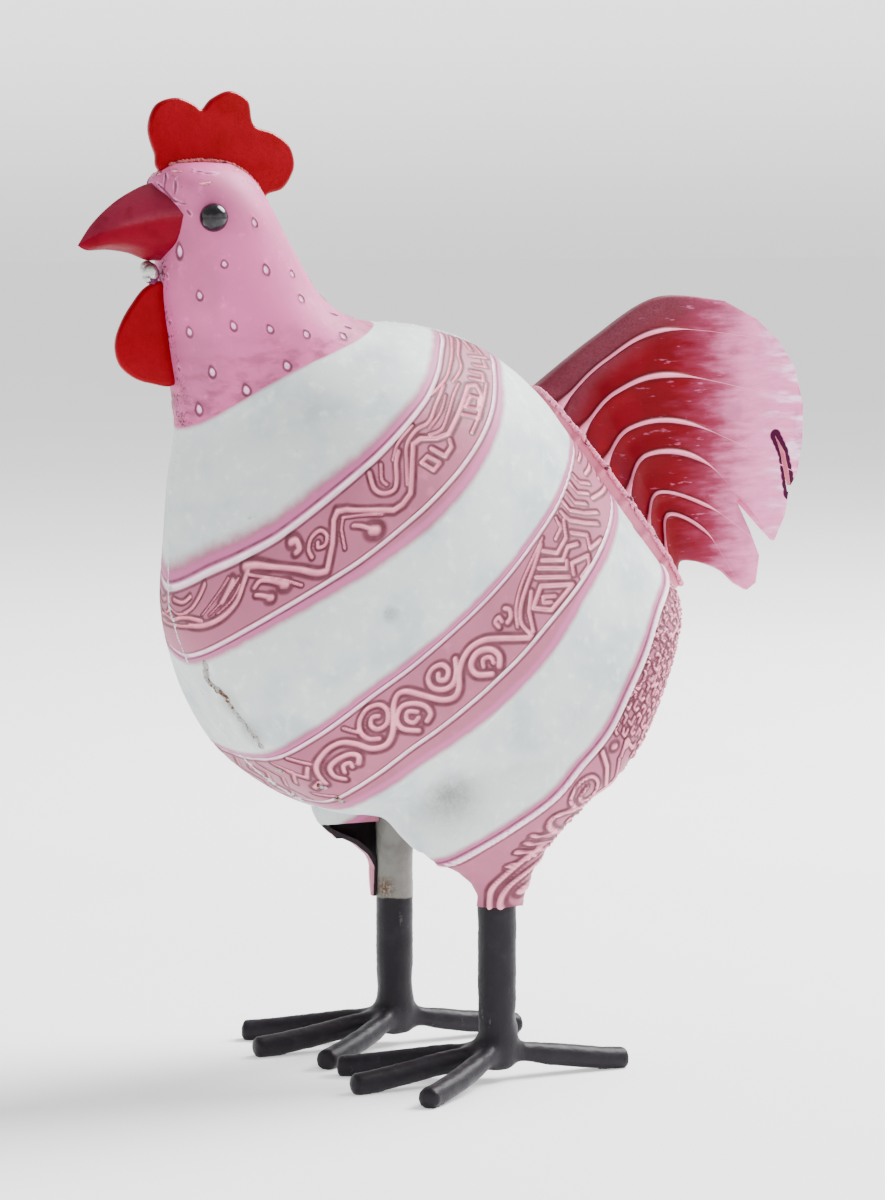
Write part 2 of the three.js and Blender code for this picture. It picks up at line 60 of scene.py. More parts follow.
MM = 0.001
RELAX_SHARE = 0.55  # how far a point moves towards its neighbours in a round
SHARP = 50  # degrees between faces from which an edge isn't shaded round

# Body sections from the crown to the rump. Each spans from the front middle line to the back one:
# frontX, frontZ, backX, backZ, half width, place of the widest point, front and back roundness
SECTIONS = [
    [-95.5, 291.2, -76, 291, 7, 0.5, 2, 2],
    [-99.5, 288.9, -71, 288.3, 12, 0.5, 2, 2],
    [-102, 284.8, -67, 284.3, 15.8, 0.5, 2, 2],
    [-100.3, 278, -63, 277.4, 18.6, 0.5, 2, 2],
    [-99.2, 268, -58, 268, 20, 0.5, 2, 2],
    [-99.2, 258, -52.3, 258.5, 21, 0.5, 2, 2],
    [-98.9, 248, -46.8, 250.5, 22.2, 0.5, 1.9, 2],
    [-97, 235, -38, 244, 24, 0.5, 1.8, 2],
    [-93.2, 209, -28, 241.4, 28, 0.5, 1.8, 2],
    [-95.7, 189, -15, 240.5, 38, 0.52, 1.7, 1.8],
    [-97, 158, -2, 238, 48.5, 0.52, 1.7, 1.7],
    [-94.8, 146.5, 11, 233.5, 50.5, 0.51, 2, 1.7],
    [-90.5, 135.5, 22.5, 226, 51.8, 0.5, 2.4, 1.8],
    [-84, 122.5, 33, 217, 52.5, 0.48, 2.8, 1.85],
    [-75.5, 109, 40, 208.5, 52.5, 0.46, 3, 1.9],
    [-67.5, 100.5, 47, 200.5, 52.2, 0.44, 3.1, 1.9],
    [-56.5, 92.5, 55, 190, 51.6, 0.43, 3.1, 1.95],
    [-44.5, 86.5, 62.5, 179.5, 50.8, 0.42, 3, 2],
    [-31, 83.8, 70.5, 170, 49.8, 0.4, 2.7, 2],
    [-16, 82.8, 78, 160.5, 48.5, 0.38, 2.5, 2],
    [-2, 82.5, 83, 151.5, 47.5, 0.36, 2.4, 2],
    [5, 82, 79, 139, 46.5, 0.4, 2.4, 2],
    [9, 81.7, 72, 125, 45, 0.45, 2.4, 2.1],
    [12, 81.5, 64.5, 111.5, 42.5, 0.5, 2.4, 2.2],
    [15, 81.4, 57, 100, 38, 0.5, 2.4, 2.2],
    [18, 81.3, 46, 90.5, 29, 0.5, 2.3, 2.2],
    [20, 81.2, 34.5, 84.5, 15, 0.5, 2, 2],
]
CROWN = (-85.5, 0, 292)
RUMP = (27.5, 0, 82.2)
BOW = 0.45  # how far lines bow towards the head on the flanks, in steps between sections
BOWED = (6, 24)  # first and last line that bows
SECTION_STEP = 0.05
AROUND_STEPS = 160
POLE_DEPTH = 4  # how far a length's end dips in at its middle
SEAMS = (0, 8, 13.5, 17.3, 26)  # the lines between the pieces that the skin is built in

# The two long bands: the lines between which v is counted, its length in mm and that of u,
# then the edge ribs and the lower paint margin as pairs of u and v
BANDS = [
    {
        "lines": (10, 12),
        "depth": 25,
        "length": 182,
        "upper": [(0, -0.5), (20, -0.7), (35, 0.5), (50, 2), (75, 3), (100, 3.2), (125, 2.4),
                  (140, 0.5), (155, -1.5), (170, -1.5), (182, -0.5)],
        "lower": [(0, 23), (10, 21.8), (20, 20.7), (30, 20.3), (40, 20.8), (50, 22), (60, 23.6),
                  (70, 25.3), (80, 26.4), (95, 27.2), (110, 26.8), (120, 25.8), (130, 24.2),
                  (140, 22), (150, 19.3), (162, 16.5), (182, 15.5)],
        "margin": [(0, 2.5), (25, 3), (60, 4), (90, 5.4), (115, 5), (150, 3), (182, 2.5)],
    },
    {
        "lines": (15, 17),
        "depth": 26,
        "length": 205,
        "upper": [(0, -6), (25, -7.2), (40, -8), (60, -7), (80, -3.3), (100, -0.8), (120, -0.2),
                  (140, -1.5), (155, -3), (175, -6), (205, -8)],
        "lower": [(0, 18), (26, 17), (40, 15.7), (50, 15.8), (60, 16.7), (70, 18.7), (80, 20.4),
                  (90, 21.8), (105, 22.7), (120, 22.3), (140, 21.6), (160, 19.5), (180, 17),
                  (205, 15)],
        "margin": [(0, 5), (40, 6), (60, 7), (90, 8), (115, 7.5), (140, 4), (205, 3)],
    },
]
UPPER_MARGIN = 3
RIB_HALF = 0.72
REAR_RIB_HALF = 1.05
RIB_CLEARANCE = 0.3  # mm between a rib's middle and the ridges beside it
RIB_HEIGHT = 0.95
MARK_HEIGHT, MARK_GROOVE = 0.5, 0.3
CREASE_DEPTH = 0.5
RIDGE_HEIGHT = 0.8
RIDGE_SHARE = 0.7  # of the half widths given below
RIDGE_FOOT = 1.25  # half widths from a ridge's middle to where it meets the sheet
DENT = 0.22  # how unevenly the sheet is beaten
DENT_LENGTH = 34  # mm from dent to dent
FAR = 4.0  # a distance, in half widths, at which a line no longer shows
PAINT_REACH = 30  # mm up to which the distance from an edge of paint is counted
COLLAR_STEP = 22  # mm between two lines where the neck's paint ends

# The rump's edge rib, as the rear chart's across and down
REAR_RIB = [
    (20, -69), (36, -66), (52, -62.5), (70, -59.3), (83, -59.3), (99, -60.5), (113.5, -64.5),
    (127, -67.5), (143, -71), (156, -70.5), (175, -70),
]

# Ridges of the two long bands: whether the line is smoothed, half its width, and its points
BAND_1 = [
    (1, 1.1, [(0, 9.5), (5, 8.4), (10, 9.2), (15, 11.6)]),
    (1, 0.8, [(0, 11.6), (6, 12), (12, 12.6)]),
    (1, 0.7, [(0, 4), (4, 6.5), (9, 6.8)]),
    (1, 0.7, [(3, 1.8), (8, 3), (12, 2.2)]),
    (1, 1.1, [(9, 12), (16, 13.3), (24, 13.1), (30, 11), (34, 6.6), (37, 3.6)]),
    (1, 1.25, [(36, 2.6), (41, 4.4), (47, 8.6), (53, 14.2), (57.5, 18.8), (60.5, 20.6)]),
    (1, 0.6, [(37, 5), (42, 8.8), (48, 14.6), (52, 19)]),
    (1, 0.8, [(8, 6.6), (12, 5.6), (16, 3.2), (19, 1)]),
    (1, 1.2, [(25, 8.4), (28, 6), (30.6, 4)]),
    (1, 0.45, [(16, 9.5), (22, 6), (29, 2.6)]),
    (1, 0.45, [(19, 10.6), (25, 8), (33, 4)]),
    (1, 0.45, [(22, 11.4), (28, 9.6), (33, 6)]),
    (1, 1.0, [(37.5, 10), (40, 9), (43, 11), (47, 15.2)]),
    (0, 1.6, [(46.6, 15), (47.6, 15.6)]),
    (1, 0.9, [(37.2, 12.6), (39, 13.8), (41.5, 16)]),
    (0, 1.3, [(41, 15.8), (41.8, 16.2)]),
    (1, 1.3, [(54, 5), (56, 5.6), (56, 8.2), (54.6, 8.6)]),
    (1, 0.8, [(58.4, 14), (58.6, 10.6), (61, 8), (64.6, 8), (65.8, 10.8), (64, 13.4), (61.6, 12.6),
              (62.2, 10.8)]),
    (0, 1.15, [(61, 20.4), (66, 15), (70, 8.4), (72.4, 7), (75.4, 8.6), (82, 15.4),
               (87.6, 20.6), (91, 21.2), (95, 20.4), (103, 12), (107, 8.4), (110.6, 9),
               (115, 13.6), (119.5, 15.8),
               (127, 14.3), (136, 12.4), (142.6, 11.2), (145.6, 13.4), (143, 16.6), (139, 18)]),
    (0, 0.6, [(68.6, 19), (70.6, 13), (73, 9.8), (77, 13), (84, 19)]),
    (1, 0.9, [(74.4, 15), (76.4, 17), (78.6, 20)]),
    (0, 2.0, [(78.6, 20.6), (79.8, 21.6)]),
    (1, 1.0, [(88, 5), (86.6, 9.6), (88, 13.6), (91.4, 15.4), (94, 13.4), (97.6, 8.6), (101, 6.4)]),
    (1, 0.7, [(93, 5.4), (90.4, 9), (90.6, 12)]),
    (1, 0.8, [(96, 17.4), (100, 12), (105, 7), (112, 6), (118, 7.4), (126, 5.6), (136, 4)]),
    (1, 0.6, [(97.4, 7), (103, 4.6), (112, 4.2)]),
    (0, 0.9, [(104.4, 15.4), (106, 20.4), (109.4, 20.2), (107.6, 15.4), (104.4, 15.4)]),
    (0, 1.0, [(110.6, 14.6), (112.4, 20), (116.6, 19.4), (118, 17.4)]),
    (1, 0.7, [(114, 10.6), (119, 12.8), (126, 11), (134, 8.8), (141, 8)]),
    (1, 0.6, [(116, 9), (124, 8.6), (132, 6.4)]),
    (0, 0.9, [(129.6, 15.4), (133, 20), (136.4, 19)]),
    (0, 0.9, [(133, 14.6), (136, 18.4), (140.6, 16.6), (139, 13.8), (133, 14.6)]),
    (0, 0.9, [(147, 10.6), (150, 15), (153.6, 13.6), (151, 9.8)]),
    (0, 0.9, [(155.4, 10), (158.6, 14), (161.4, 12.6)]),
    (0, 0.9, [(160, 8), (165, 13.4)]),
    (1, 0.7, [(126, 21.4), (138, 18.8), (150, 16)]),
    (1, 0.7, [(128, 2.6), (140, 3.4), (150, 2.4), (165, 1.4), (182, 3)]),
    (1, 0.7, [(140, 6), (150, 6.2), (160, 3.6), (182, 5)]),
    (1, 0.9, [(165, 8), (172, 6.6), (182, 7.4)]),
    (1, 0.9, [(166, 11.6), (173, 9.6), (182, 10.6)]),
]
BAND_2 = [
    (0, 0.9, [(0, -3), (6, 2), (0, 7), (6, 12), (0, 16)]),
    (0, 0.9, [(8, -4), (15, 3), (8, 9), (14, 15)]),
    (0, 0.9, [(18, -5), (24, 1), (19, 6)]),
    (0, 1.0, [(22, 0), (27, 4.6), (31, 1)]),
    (0, 1.2, [(25, 9.4), (29.4, 8)]),
    (0, 0.9, [(21, 12), (28, 15.6)]),
    (0, 0.9, [(27, -6), (33, 0)]),
    (1, 1.25, [(31, 9), (32, 5), (34.4, 1.6), (38.6, -0.8), (43, -1.9), (47, -0.8), (50, 3),
               (52.2, 7.4), (56, 9.7), (60, 8.4), (63.6, 4.8), (66.6, 1.2), (69.4, -0.2),
               (72, 1.6), (75, 7.2), (78, 12.6), (81.2, 15), (84.4, 14.2), (88, 10.8), (92, 8.6),
               (96.4, 8), (101, 9.6), (105, 13), (109, 17), (112.4, 20.4)]),
    (1, 1.15, [(38, 10.6), (36.2, 8), (37.6, 4.6), (41.6, 3.4), (46, 4.2), (47.6, 6.6),
               (45.8, 8.6)]),
    (1, 0.9, [(40, 8.6), (41.6, 6.4), (44, 6.6), (43.4, 8.4)]),
    (1, 0.7, [(50, -5), (51.6, -2), (53, 0.4)]),
    (1, 1.0, [(56, 6.6), (53.6, 4), (53.4, 0), (55.6, -3.4), (59.4, -4.6), (63, -2.4), (63.6, 1.4),
              (61, 4.6), (57.8, 4), (57, 1.2), (58.8, -0.8), (60.6, 0.6)]),
    (1, 1.1, [(66, 14), (63.2, 9.8), (64, 6), (67.6, 4.2), (71, 6.4), (73, 10), (72.4, 13),
              (70, 13.8)]),
    (1, 0.95, [(70, 9.4), (68, 7), (66, 8.6), (66.8, 11), (69, 11)]),
    (1, 1.15, [(90, 6.6), (87.6, 9.8), (84, 11.8), (80.6, 10.6), (78.6, 7.4), (79.6, 4),
               (82.6, 2.8), (85.6, 4.4), (86, 7.4), (83.6, 9), (81.8, 7.4), (82.8, 5.8)]),
    (1, 1.3, [(95, 19.4), (91.6, 15.6), (92.4, 12), (96.6, 10.8), (100.4, 13.2), (101, 16.8),
              (98.6, 19.4)]),
    (1, 0.9, [(94.8, 15.6), (96.4, 13.8), (98.6, 15), (98, 17.2)]),
    (1, 0.9, [(107.4, 10.4), (107.6, 8.2), (109.6, 8), (109.4, 9.8)]),
    (1, 1.0, [(110.6, 11.4), (112.6, 11), (114, 9), (113, 7.4)]),
    (1, 0.9, [(113.6, 20.6), (114, 15), (118, 11), (124, 8), (130, 5.6), (138, 2)]),
    (1, 0.7, [(112, 15), (116, 10.4), (122, 6.6), (130, 3.6), (140, 0.6)]),
    (0, 0.9, [(115, 20), (118.6, 14.4), (124, 10.4)]),
    (0, 1.0, [(125, 19.8), (120.6, 14.6), (128, 11.6), (137.6, 19.6), (125, 19.8)]),
    (0, 0.8, [(129.6, 17.6), (126, 14.6), (124.6, 16), (127, 18)]),
    (0, 0.9, [(128.6, 8.4), (138.6, 17)]),
    (0, 0.9, [(131.6, 7), (140, 14.4), (142, 12.8)]),
    (0, 0.9, [(134.4, 6), (141, 11.6), (146, 10), (150, 12)]),
    (0, 0.9, [(137, 4), (141, 8.6), (148, 7.6), (152, 3)]),
    (0, 0.9, [(140.6, 17.6), (143, 14.6), (150.4, 17.4), (148, 20), (142, 20.4)]),
    (0, 0.8, [(144, 5), (149, 4), (149.6, 0)]),
    (0, 0.9, [(151, 8), (156, 13), (153, 16.6), (160, 18)]),
    (0, 0.9, [(153, 0), (154, 5), (159, 10), (164, 14)]),
    (0, 0.8, [(156.6, -3), (157, 3), (162, 8), (168, 12)]),
    (0, 0.8, [(161, -3.4), (161.4, 3), (166, 7)]),
    (0, 0.8, [(165.6, -4), (166, 2), (171, 6)]),
    (0, 0.8, [(170, -4), (171, 1), (176, 5)]),
    (1, 0.9, [(171, 8), (180, 11), (192, 14)]),
    (1, 0.9, [(178, 2), (188, 4), (205, 5)]),
    (1, 0.9, [(180, -3), (190, -1.6), (205, -1)]),
    (1, 0.9, [(186, 9), (196, 10), (205, 9.6)]),
]

# Legs and thighs
LEG_DIAMETER = 12.5
LEG_SPACING = 71
LEG_X = 0.8
LEG_FOOT = 3.2
LEG_TOP = 86
THIGH_HEM = {-1: 56.5, 1: 50}  # height by side
# Height, front, rear, outer and inner side
THIGH = [
    [60, -6.6, 9.4, 43.9, 29],
    [64, -9, 10.6, 44.2, 30],
    [68, -14, 13, 44.6, 29.5],
    [72, -23, 16.5, 45, 27],
    [76, -28, 21, 45.6, 21],
    [80, -31, 26, 47, 13],
    [85, -33, 33, 48.2, 7],
    [92, -34, 40, 49.2, 5],
    [102, -31, 45, 49, 5],
]
THIGH_ROUNDNESS = 2.3
SHEET = 1.25  # thickness
GAP = 0.3  # between a leg and its bore
BELLY = 75  # height up to which the thighs are hollow
FAR_OPENING = [(-46, 80), (-42, 87), (12, 87), (16, 80)]  # where the far half shell gapes, x and z

# Corners of the box cut out behind the far leg
REAR_RIM = ((LEG_X, 0, 0), (LEG_X + 30, LEG_SPACING / 2 + GAP + 7, 74))

# Head pieces in the middle plane
COMB_OUTLINE = [
    (-97, 287), (-101.3, 294.5), (-103.4, 302.5), (-100.6, 309.5), (-94, 311.7), (-88.3, 310),
    (-85.2, 308.2), (-81.6, 311.6), (-75.4, 314), (-69.3, 311), (-67.3, 303.6), (-60.5, 301.1),
    (-54.9, 297), (-53.3, 290.3), (-57, 283.8), (-63, 281.4), (-66, 276),
]
COMB_FOOT = [
    (-96.5, 291), (-90, 292.1), (-83, 292.2), (-76, 291.2), (-71, 288.6), (-67, 284.8),
    (-64.6, 280.6),
]
WATTLE_OUTLINE = [
    (-99, 254.6), (-104.4, 253.2), (-109, 248.2), (-113, 241.9), (-115, 235.6), (-113.7, 229.2),
    (-109, 225), (-103, 223), (-95, 222.6), (-92, 232), (-96, 247),
]
COMB_THICKNESS = 3.2
WATTLE_THICKNESS = 3
BEAK_TIP = (-127.3, 266)
# From tip to root: x and z of the ridge, x, z and half width of the side, x and z of the edge below
BEAK = [
    [-127.3, 266, -127.3, 266, 0.05, -127.3, 266],
    [-122.6, 272.6, -123, 268.6, 2.6, -124.2, 264.5],
    [-116, 278.6, -116, 271.6, 6, -117.5, 264.6],
    [-109.5, 282.6, -108.5, 273.6, 8.6, -110.5, 263.6],
    [-103, 285.2, -101, 275.2, 10.8, -104.2, 261.4],
    [-96, 285.5, -94, 275.6, 11.4, -98, 261.4],
]
BEAK_ROWS = 44
EYE = (-89.6, 18.4, 274.6)
EYE_DIAMETER = 8.9
SOLDER = (-103, 0, 258.2)
SOLDER_DIAMETER = 5.2
# Offsets from the middle of the blob
SOLDER_LUMPS = [(-0.8, 0.6, 1), (1.4, -1.2, -0.6), (0.2, 1, -1.8)]
WATTLE_STEM = [(1, 0, -2), (1.2, 0, -5)]

# Tail: both ends of the root; for each feather line its share along the root and x and z of two
# points further out; and the rim as place among the lines, x and z
TAIL_ROOT = [(33, 219), (88, 152.5)]
TAIL_LINES = [
    [0, 56, 235, 80, 248.2],
    [0.1, 57, 227.5, 82, 237.6],
    [0.23, 61, 217.5, 86, 222.5],
    [0.39, 66, 205.6, 91, 206.2],
    [0.55, 72, 196.5, 96, 193.6],
    [0.71, 77, 184, 98, 178.6],
    [0.86, 81.5, 176.5, 97.5, 170],
    [1, 88.5, 160, 94.5, 160.3],
]
TAIL_RIM = [
    (0, 105.5, 246.8), (0.5, 118, 240.8), (1, 127.3, 233), (1.5, 133.3, 224.4), (2, 136.8, 212),
    (2.5, 136.6, 199.5), (3, 134.6, 188.6), (3.3, 131.4, 183.6), (3.6, 130, 175),
    (3.9, 125.7, 166.2), (4.2, 119.4, 174.4), (4.5, 113.8, 181.4), (4.7, 110.8, 180),
    (4.9, 116, 170), (5.2, 119.8, 161.4), (5.5, 118.5, 152.3), (5.8, 115, 150), (6.1, 110.6, 152.3),
    (6.5, 106, 156.4), (7, 101.2, 158.6),
]
TAIL_THICKNESS = 15
TAIL_EDGE = 2.2
TAIL_ROOT_SWELL = 1.35
TAIL_RIB_HEIGHT = 1.3
TAIL_RIB_HALF = 0.055  # as a share of a feather's width
TAIL_SAG = 0.7  # how far the sheet lies lower between two ribs
SLIT = [(125.2, 201.5), (128.2, 196), (131.6, 182.5)]
SLIT_SHADE_POINTS = [  # painted shade round the slit, where the gap between the sheets looks dark
    (126.2, 199.7), (127.2, 197.9), (128.9, 193.4), (129.5, 190.8), (130.2, 188.2), (130.9, 185.4),
]
TAIL_SLIT = 1.8

TOE_DIAMETER = 7.5
TOE_REACH = 52
REAR_TOE_REACH = 48
TOE_SPREAD = 36.5
TOE_DROP = 6.5  # how far a toe's root lies above its end
TOE_FLAT = 0.7  # how much of a toe is flattened on the floor

SIDES = (("left", -1), ("right", 1))
ORIGIN = np.array([BEAK_TIP[0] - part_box("beak")[0].x / MM, 0, 0])


def to_frame(points):
    """Drawn millimetres as metres in the model's own frame."""
    return (np.asarray(points, float) - ORIGIN) * MM


def between(table, place):
    """Smooth values between a table's rows, at fractional row numbers."""
    table, place = np.asarray(table, float), np.asarray(place, float)
    last = len(table) - 1
    low = np.clip(np.floor(place).astype(int), 0, last - 1)
    t = (place - low)[..., None]
    p, q, r, s = (table[np.clip(low + k, 0, last)] for k in (-1, 0, 1, 2))
    bend = 2 * p - 5 * q + 4 * r - s + (3 * (q - r) + s - p) * t
    return q + 0.5 * t * (r - p + t * bend)


def smooth_step(low, high, value):
    t = np.clip((value - low) / (high - low), 0, 1)
    return t * t * (3 - 2 * t)


def along(pairs, value):
    """A smooth curve through pairs of position and height."""
    at, height = np.array(pairs, float).T
    value = np.clip(value, at[0], at[-1])
    row = np.clip(np.searchsorted(at, value, side="right") - 1, 0, len(at) - 2)
    share = (value - at[row]) / (at[row + 1] - at[row])
    return between(height[:, None], row + share)[..., 0]


def waves(points, length, seed):
    """A soft undulation between about -1 and 1, for sheet beaten by hand."""
    rng = np.random.default_rng(seed)
    total = 0
    for _ in range(7):
        direction = rng.normal(size=3)
        direction *= rng.uniform(0.6, 1.6) * 2 * np.pi / length / np.linalg.norm(direction)
        total = total + np.sin(points @ direction + rng.uniform(0, 6.3))
    return total / 3.5


class Skin:
    """The stamped halves as a surface over line (crown to rump) and around (front to back)."""

    def __init__(self):
        rows = between(SECTIONS, np.arange(0, len(SECTIONS) - 1 + 1e-9, SECTION_STEP))
        angle = np.linspace(0, np.pi, AROUND_STEPS + 1)
        ahead = angle < np.pi / 2
        even = np.linspace(0, 1, AROUND_STEPS + 1)
        self.travel = np.zeros((len(rows), AROUND_STEPS + 1))
        self.grid = np.zeros((len(rows), AROUND_STEPS + 1, 3))
        for number, (fx, fz, bx, bz, half, widest, front, back) in enumerate(rows):
            power = np.where(ahead, front, back)
            reach = np.where(ahead, widest, 1 - widest)
            cosine = np.cos(angle)
            run = widest - np.sign(cosine) * reach * np.abs(cosine) ** (2 / power)
            side = half * np.abs(np.sin(angle)) ** (2 / power)
            points = np.stack([fx + run * (bx - fx), -side, fz + run * (bz - fz)], 1)
            steps = np.linalg.norm(np.diff(points, axis=0), axis=1)
            share = np.concatenate([[0], np.cumsum(steps)]) / steps.sum()
            self.travel[number] = share
            for axis in range(3):
                self.grid[number, :, axis] = np.interp(even, share, points[:, axis])
            self.grid[number, [0, -1], 1] = 0

    def point(self, line, around):
        line, around = np.broadcast_arrays(np.asarray(line, float), np.asarray(around, float))
        section = line - bow(line) * np.sin(np.pi * around) ** 2
        return self.sample(section / SECTION_STEP, around * AROUND_STEPS)

    def sample(self, row, column):
        last_row, last_column = self.grid.shape[0] - 1, self.grid.shape[1] - 1
        low = np.clip(np.floor(row).astype(int), 0, last_row - 1)
        left = np.clip(np.floor(column).astype(int), 0, last_column - 1)
        total = 0
        for i, down in enumerate(curve_weights(row - low)):
            for j, across in enumerate(curve_weights(column - left)):
                at = np.clip(low + i - 1, 0, last_row), np.clip(left + j - 1, 0, last_column)
                total = total + (down * across)[..., None] * self.grid[at]
        return total

    def normal(self, line, around):
        """Outward normals of the near half."""
        down = self.point(line + 0.04, around) - self.point(line - 0.04, around)
        across = self.point(line, np.minimum(around + 0.004, 1))
        across = across - self.point(line, np.maximum(around - 0.004, 0))
        out = np.cross(across, down)
        edge = (around < 1e-6) | (around > 1 - 1e-6)
        out[edge, 1] = 0
        return out / np.linalg.norm(out, axis=-1, keepdims=True)

    def locate(self, points):
        """The line and around of points on or near the surface."""
        x, y, z = points.T
        low, high = np.zeros(len(points)), np.full(len(points), len(SECTIONS) - 1.0)
        for _ in range(16):
            section = (low + high) / 2
            fx, fz, bx, bz = between(SECTIONS, section).T[:4]
            above = (bx - fx) * (z - fz) - (bz - fz) * (x - fx) > 0
            high = np.where(above, section, high)
            low = np.where(above, low, section)
        fx, fz, bx, bz, half, widest, front, back = between(SECTIONS, section).T
        run = ((x - fx) * (bx - fx) + (z - fz) * (bz - fz)) / ((bx - fx) ** 2 + (bz - fz) ** 2)
        ahead = run < widest
        power = np.where(ahead, front, back)
        reach = np.where(ahead, widest, 1 - widest)
        cosine = np.clip(np.abs(widest - run) / reach, 0, 1.2) ** (power / 2)
        sine = np.clip(np.abs(y) / half, 0, 1.2) ** (power / 2)
        angle = np.arctan2(sine, cosine * np.sign(widest - run)) / np.pi * AROUND_STEPS
        row = np.clip((section / SECTION_STEP).astype(int), 0, len(self.travel) - 1)
        column = np.clip(angle.astype(int), 0, AROUND_STEPS - 1)
        t = angle - column
        around = self.travel[row, column] * (1 - t) + self.travel[row, column + 1] * t
        line = section
        for _ in range(3):
            line = section + bow(line) * np.sin(np.pi * around) ** 2
        return line, around

    def lines(self, first, last, step):
        """Line numbers from first to last, at most step mm apart anywhere round the body."""
        fine = np.linspace(first, last, 400)
        rings = self.point(fine[:, None], np.linspace(0, 1, 17)[None])
        apart = np.linalg.norm(np.diff(rings, axis=0), axis=2).max(1)
        travelled = np.concatenate([[0], np.cumsum(apart)])
        count = max(1, math.ceil(travelled[-1] / step))
        return np.interp(np.linspace(0, travelled[-1], count + 1), travelled, fine)


def bow(line):
    share = np.clip((np.asarray(line, float) - BOWED[0]) / (BOWED[1] - BOWED[0]), 0, 1)
    return BOW * np.sin(np.pi * share) ** 0.5


def curve_weights(t):
    """Weights of the four values round a place on a smooth curve."""
    return (
        0.5 * (-t + 2 * t**2 - t**3),
        0.5 * (2 - 5 * t**2 + 3 * t**3),
        0.5 * (t + 4 * t**2 - 3 * t**3),
        0.5 * (-(t**2) + t**3),
    )


SKIN = Skin()


# Relief


def stroke_points(smoothed, points):
    points = np.array(points, float)
    if not smoothed or len(points) < 3:
        return points
    return between(points, np.linspace(0, len(points) - 1, 6 * (len(points) - 1) + 1))


def stroke_distance(u, v, strokes):
    """Distance from the nearest ridge line, as a share of that ridge's half width."""
    nearest = np.full(u.shape, FAR)
    for smoothed, half, points in strokes:
        line = stroke_points(smoothed, points)
        reach = FAR * half
        lowest, highest = line.min(0) - reach, line.max(0) + reach
        near = (u > lowest[0]) & (u < highest[0]) & (v > lowest[1]) & (v < highest[1])
        if not near.any():
            continue
        at = np.stack([u[near], v[near]], 1)
        half = half * RIDGE_SHARE
        best = nearest[near]
        for start, end in zip(line[:-1], line[1:]):
            span = end - start
            share = np.clip((at - start) @ span / max(span @ span, 1e-9), 0, 1)
            gap = np.linalg.norm(at - start - share[:, None] * span, axis=1)
            best = np.minimum(best, gap / half)
        nearest[near] = best
    return nearest


def ridge_height(ratio):
    share = ratio / RIDGE_FOOT
    return np.where(ratio < RIDGE_FOOT, np.cos(np.clip(share, 0, 1) * np.pi) * 0.5 + 0.5, 0)


def meander_strokes(first, last, low, high, pitch, seed):
    """Short hooked marks in rows, each a little different."""
    rng = np.random.default_rng(seed)
    strokes = []
    for row, v in enumerate(np.arange(low, high, pitch)):
        u = first + (row % 2) * pitch * 0.5
        while u < last:
            a = pitch * 0.34 * rng.uniform(0.8, 1.15)
            turn = rng.choice([-1, 1], 2)
            hook = np.array([(-a, -a * 0.8), (a, -a * 0.8), (a, a * 0.5), (-0.1 * a, a * 0.9)])
            kept = hook[: rng.integers(3, 5)] * turn + rng.normal(0, 0.18, 2) + (u, v)
            strokes.append((0, 0.62, [tuple(point) for point in kept]))
            u += pitch * rng.uniform(1, 1.25)
    return strokes


REAR_STROKES = [
    (1, 1.1, [(51, 27), (52.4, 19), (55.6, 14.4), (61, 12.4), (66, 12.6)]),
    (1, 1.0, [(54.6, 27), (54.4, 21), (58, 17), (63, 17.4), (63, 21.4), (59.4, 23), (58.6, 20.6)]),
    (1, 0.7, [(58, 27.6), (62, 26), (66, 22), (67, 17)]),
    (0, 0.6, [(60, 10.4), (64.6, 14)]),
    (0, 0.65, [(63, 8), (66.6, 16)]),
    (0, 0.65, [(65.4, 7), (69, 18)]),
    (0, 0.65, [(67.6, 6), (71, 16)]),
    (1, 0.95, [(70, 22), (70.6, 14), (71.6, 7.6), (74, 5.6), (77, 8), (80.6, 13),
               (85, 15.4), (91, 16)]),
    (1, 0.7, [(73, 22), (73.4, 14), (75.4, 11.6), (79, 17), (86, 19.6)]),
    (1, 0.8, [(79, 9), (80, 5), (84, 3.4), (88, 6), (88, 10.4), (84.6, 12.6), (81.4, 10.6),
              (82, 7.4), (85, 7.4)]),
    (0, 1.0, [(95, 2.4), (93.4, 8), (89.4, 14.4)]),
    (0, 0.7, [(98, 10), (94, 15), (88, 18)]),
    (0, 1.2, [(98.6, 4.6), (99.2, 5.2)]),
    (0, 0.8, [(99, 10), (103, 8), (104, 13)]),
]
REAR_STROKES += meander_strokes(103, 176, 2.2, 60, 3.3, 5)
REAR_STROKES += meander_strokes(74, 104, 21, 60, 3.6, 6)


# The rump's chart: its down direction in x and z, the height that its fan opens round, the
# reach of the fan in mm, and the half height and half width of the field that it fills
REAR_DOWN = (0.656, -0.755)
FAN_MIDDLE = 107
FAN_REACH = 62
FAN_FIELD = (70, 48)


def rear_chart(points):
    """Across and down of the rump's own chart, which opens like a fan round its middle."""
    x, y, z = points[:, 0], np.abs(points[:, 1]), points[:, 2]
    ahead, below = REAR_DOWN
    down = ahead * x + below * z
    rise = -below * x + ahead * z
    turn = np.arctan2((rise - FAN_MIDDLE) / FAN_FIELD[0], y / FAN_FIELD[1])
    across = FAN_MIDDLE + FAN_REACH * turn
    return across, down - along(REAR_RIB, rise)


# Dirt on the white paint, as a place and how far it reaches
DIRT = [
    ((-18, -38.9, 91.7), 17), ((-16, -39, 90), 8), ((-45.6, -51.7, 152.5), 4), ((-20, -40, 95), 12),
    ((-68, -19, 103), 9), ((-82, -15, 124), 9), ((-78, -19, 114), 9), ((10, -36, 62), 5),
]
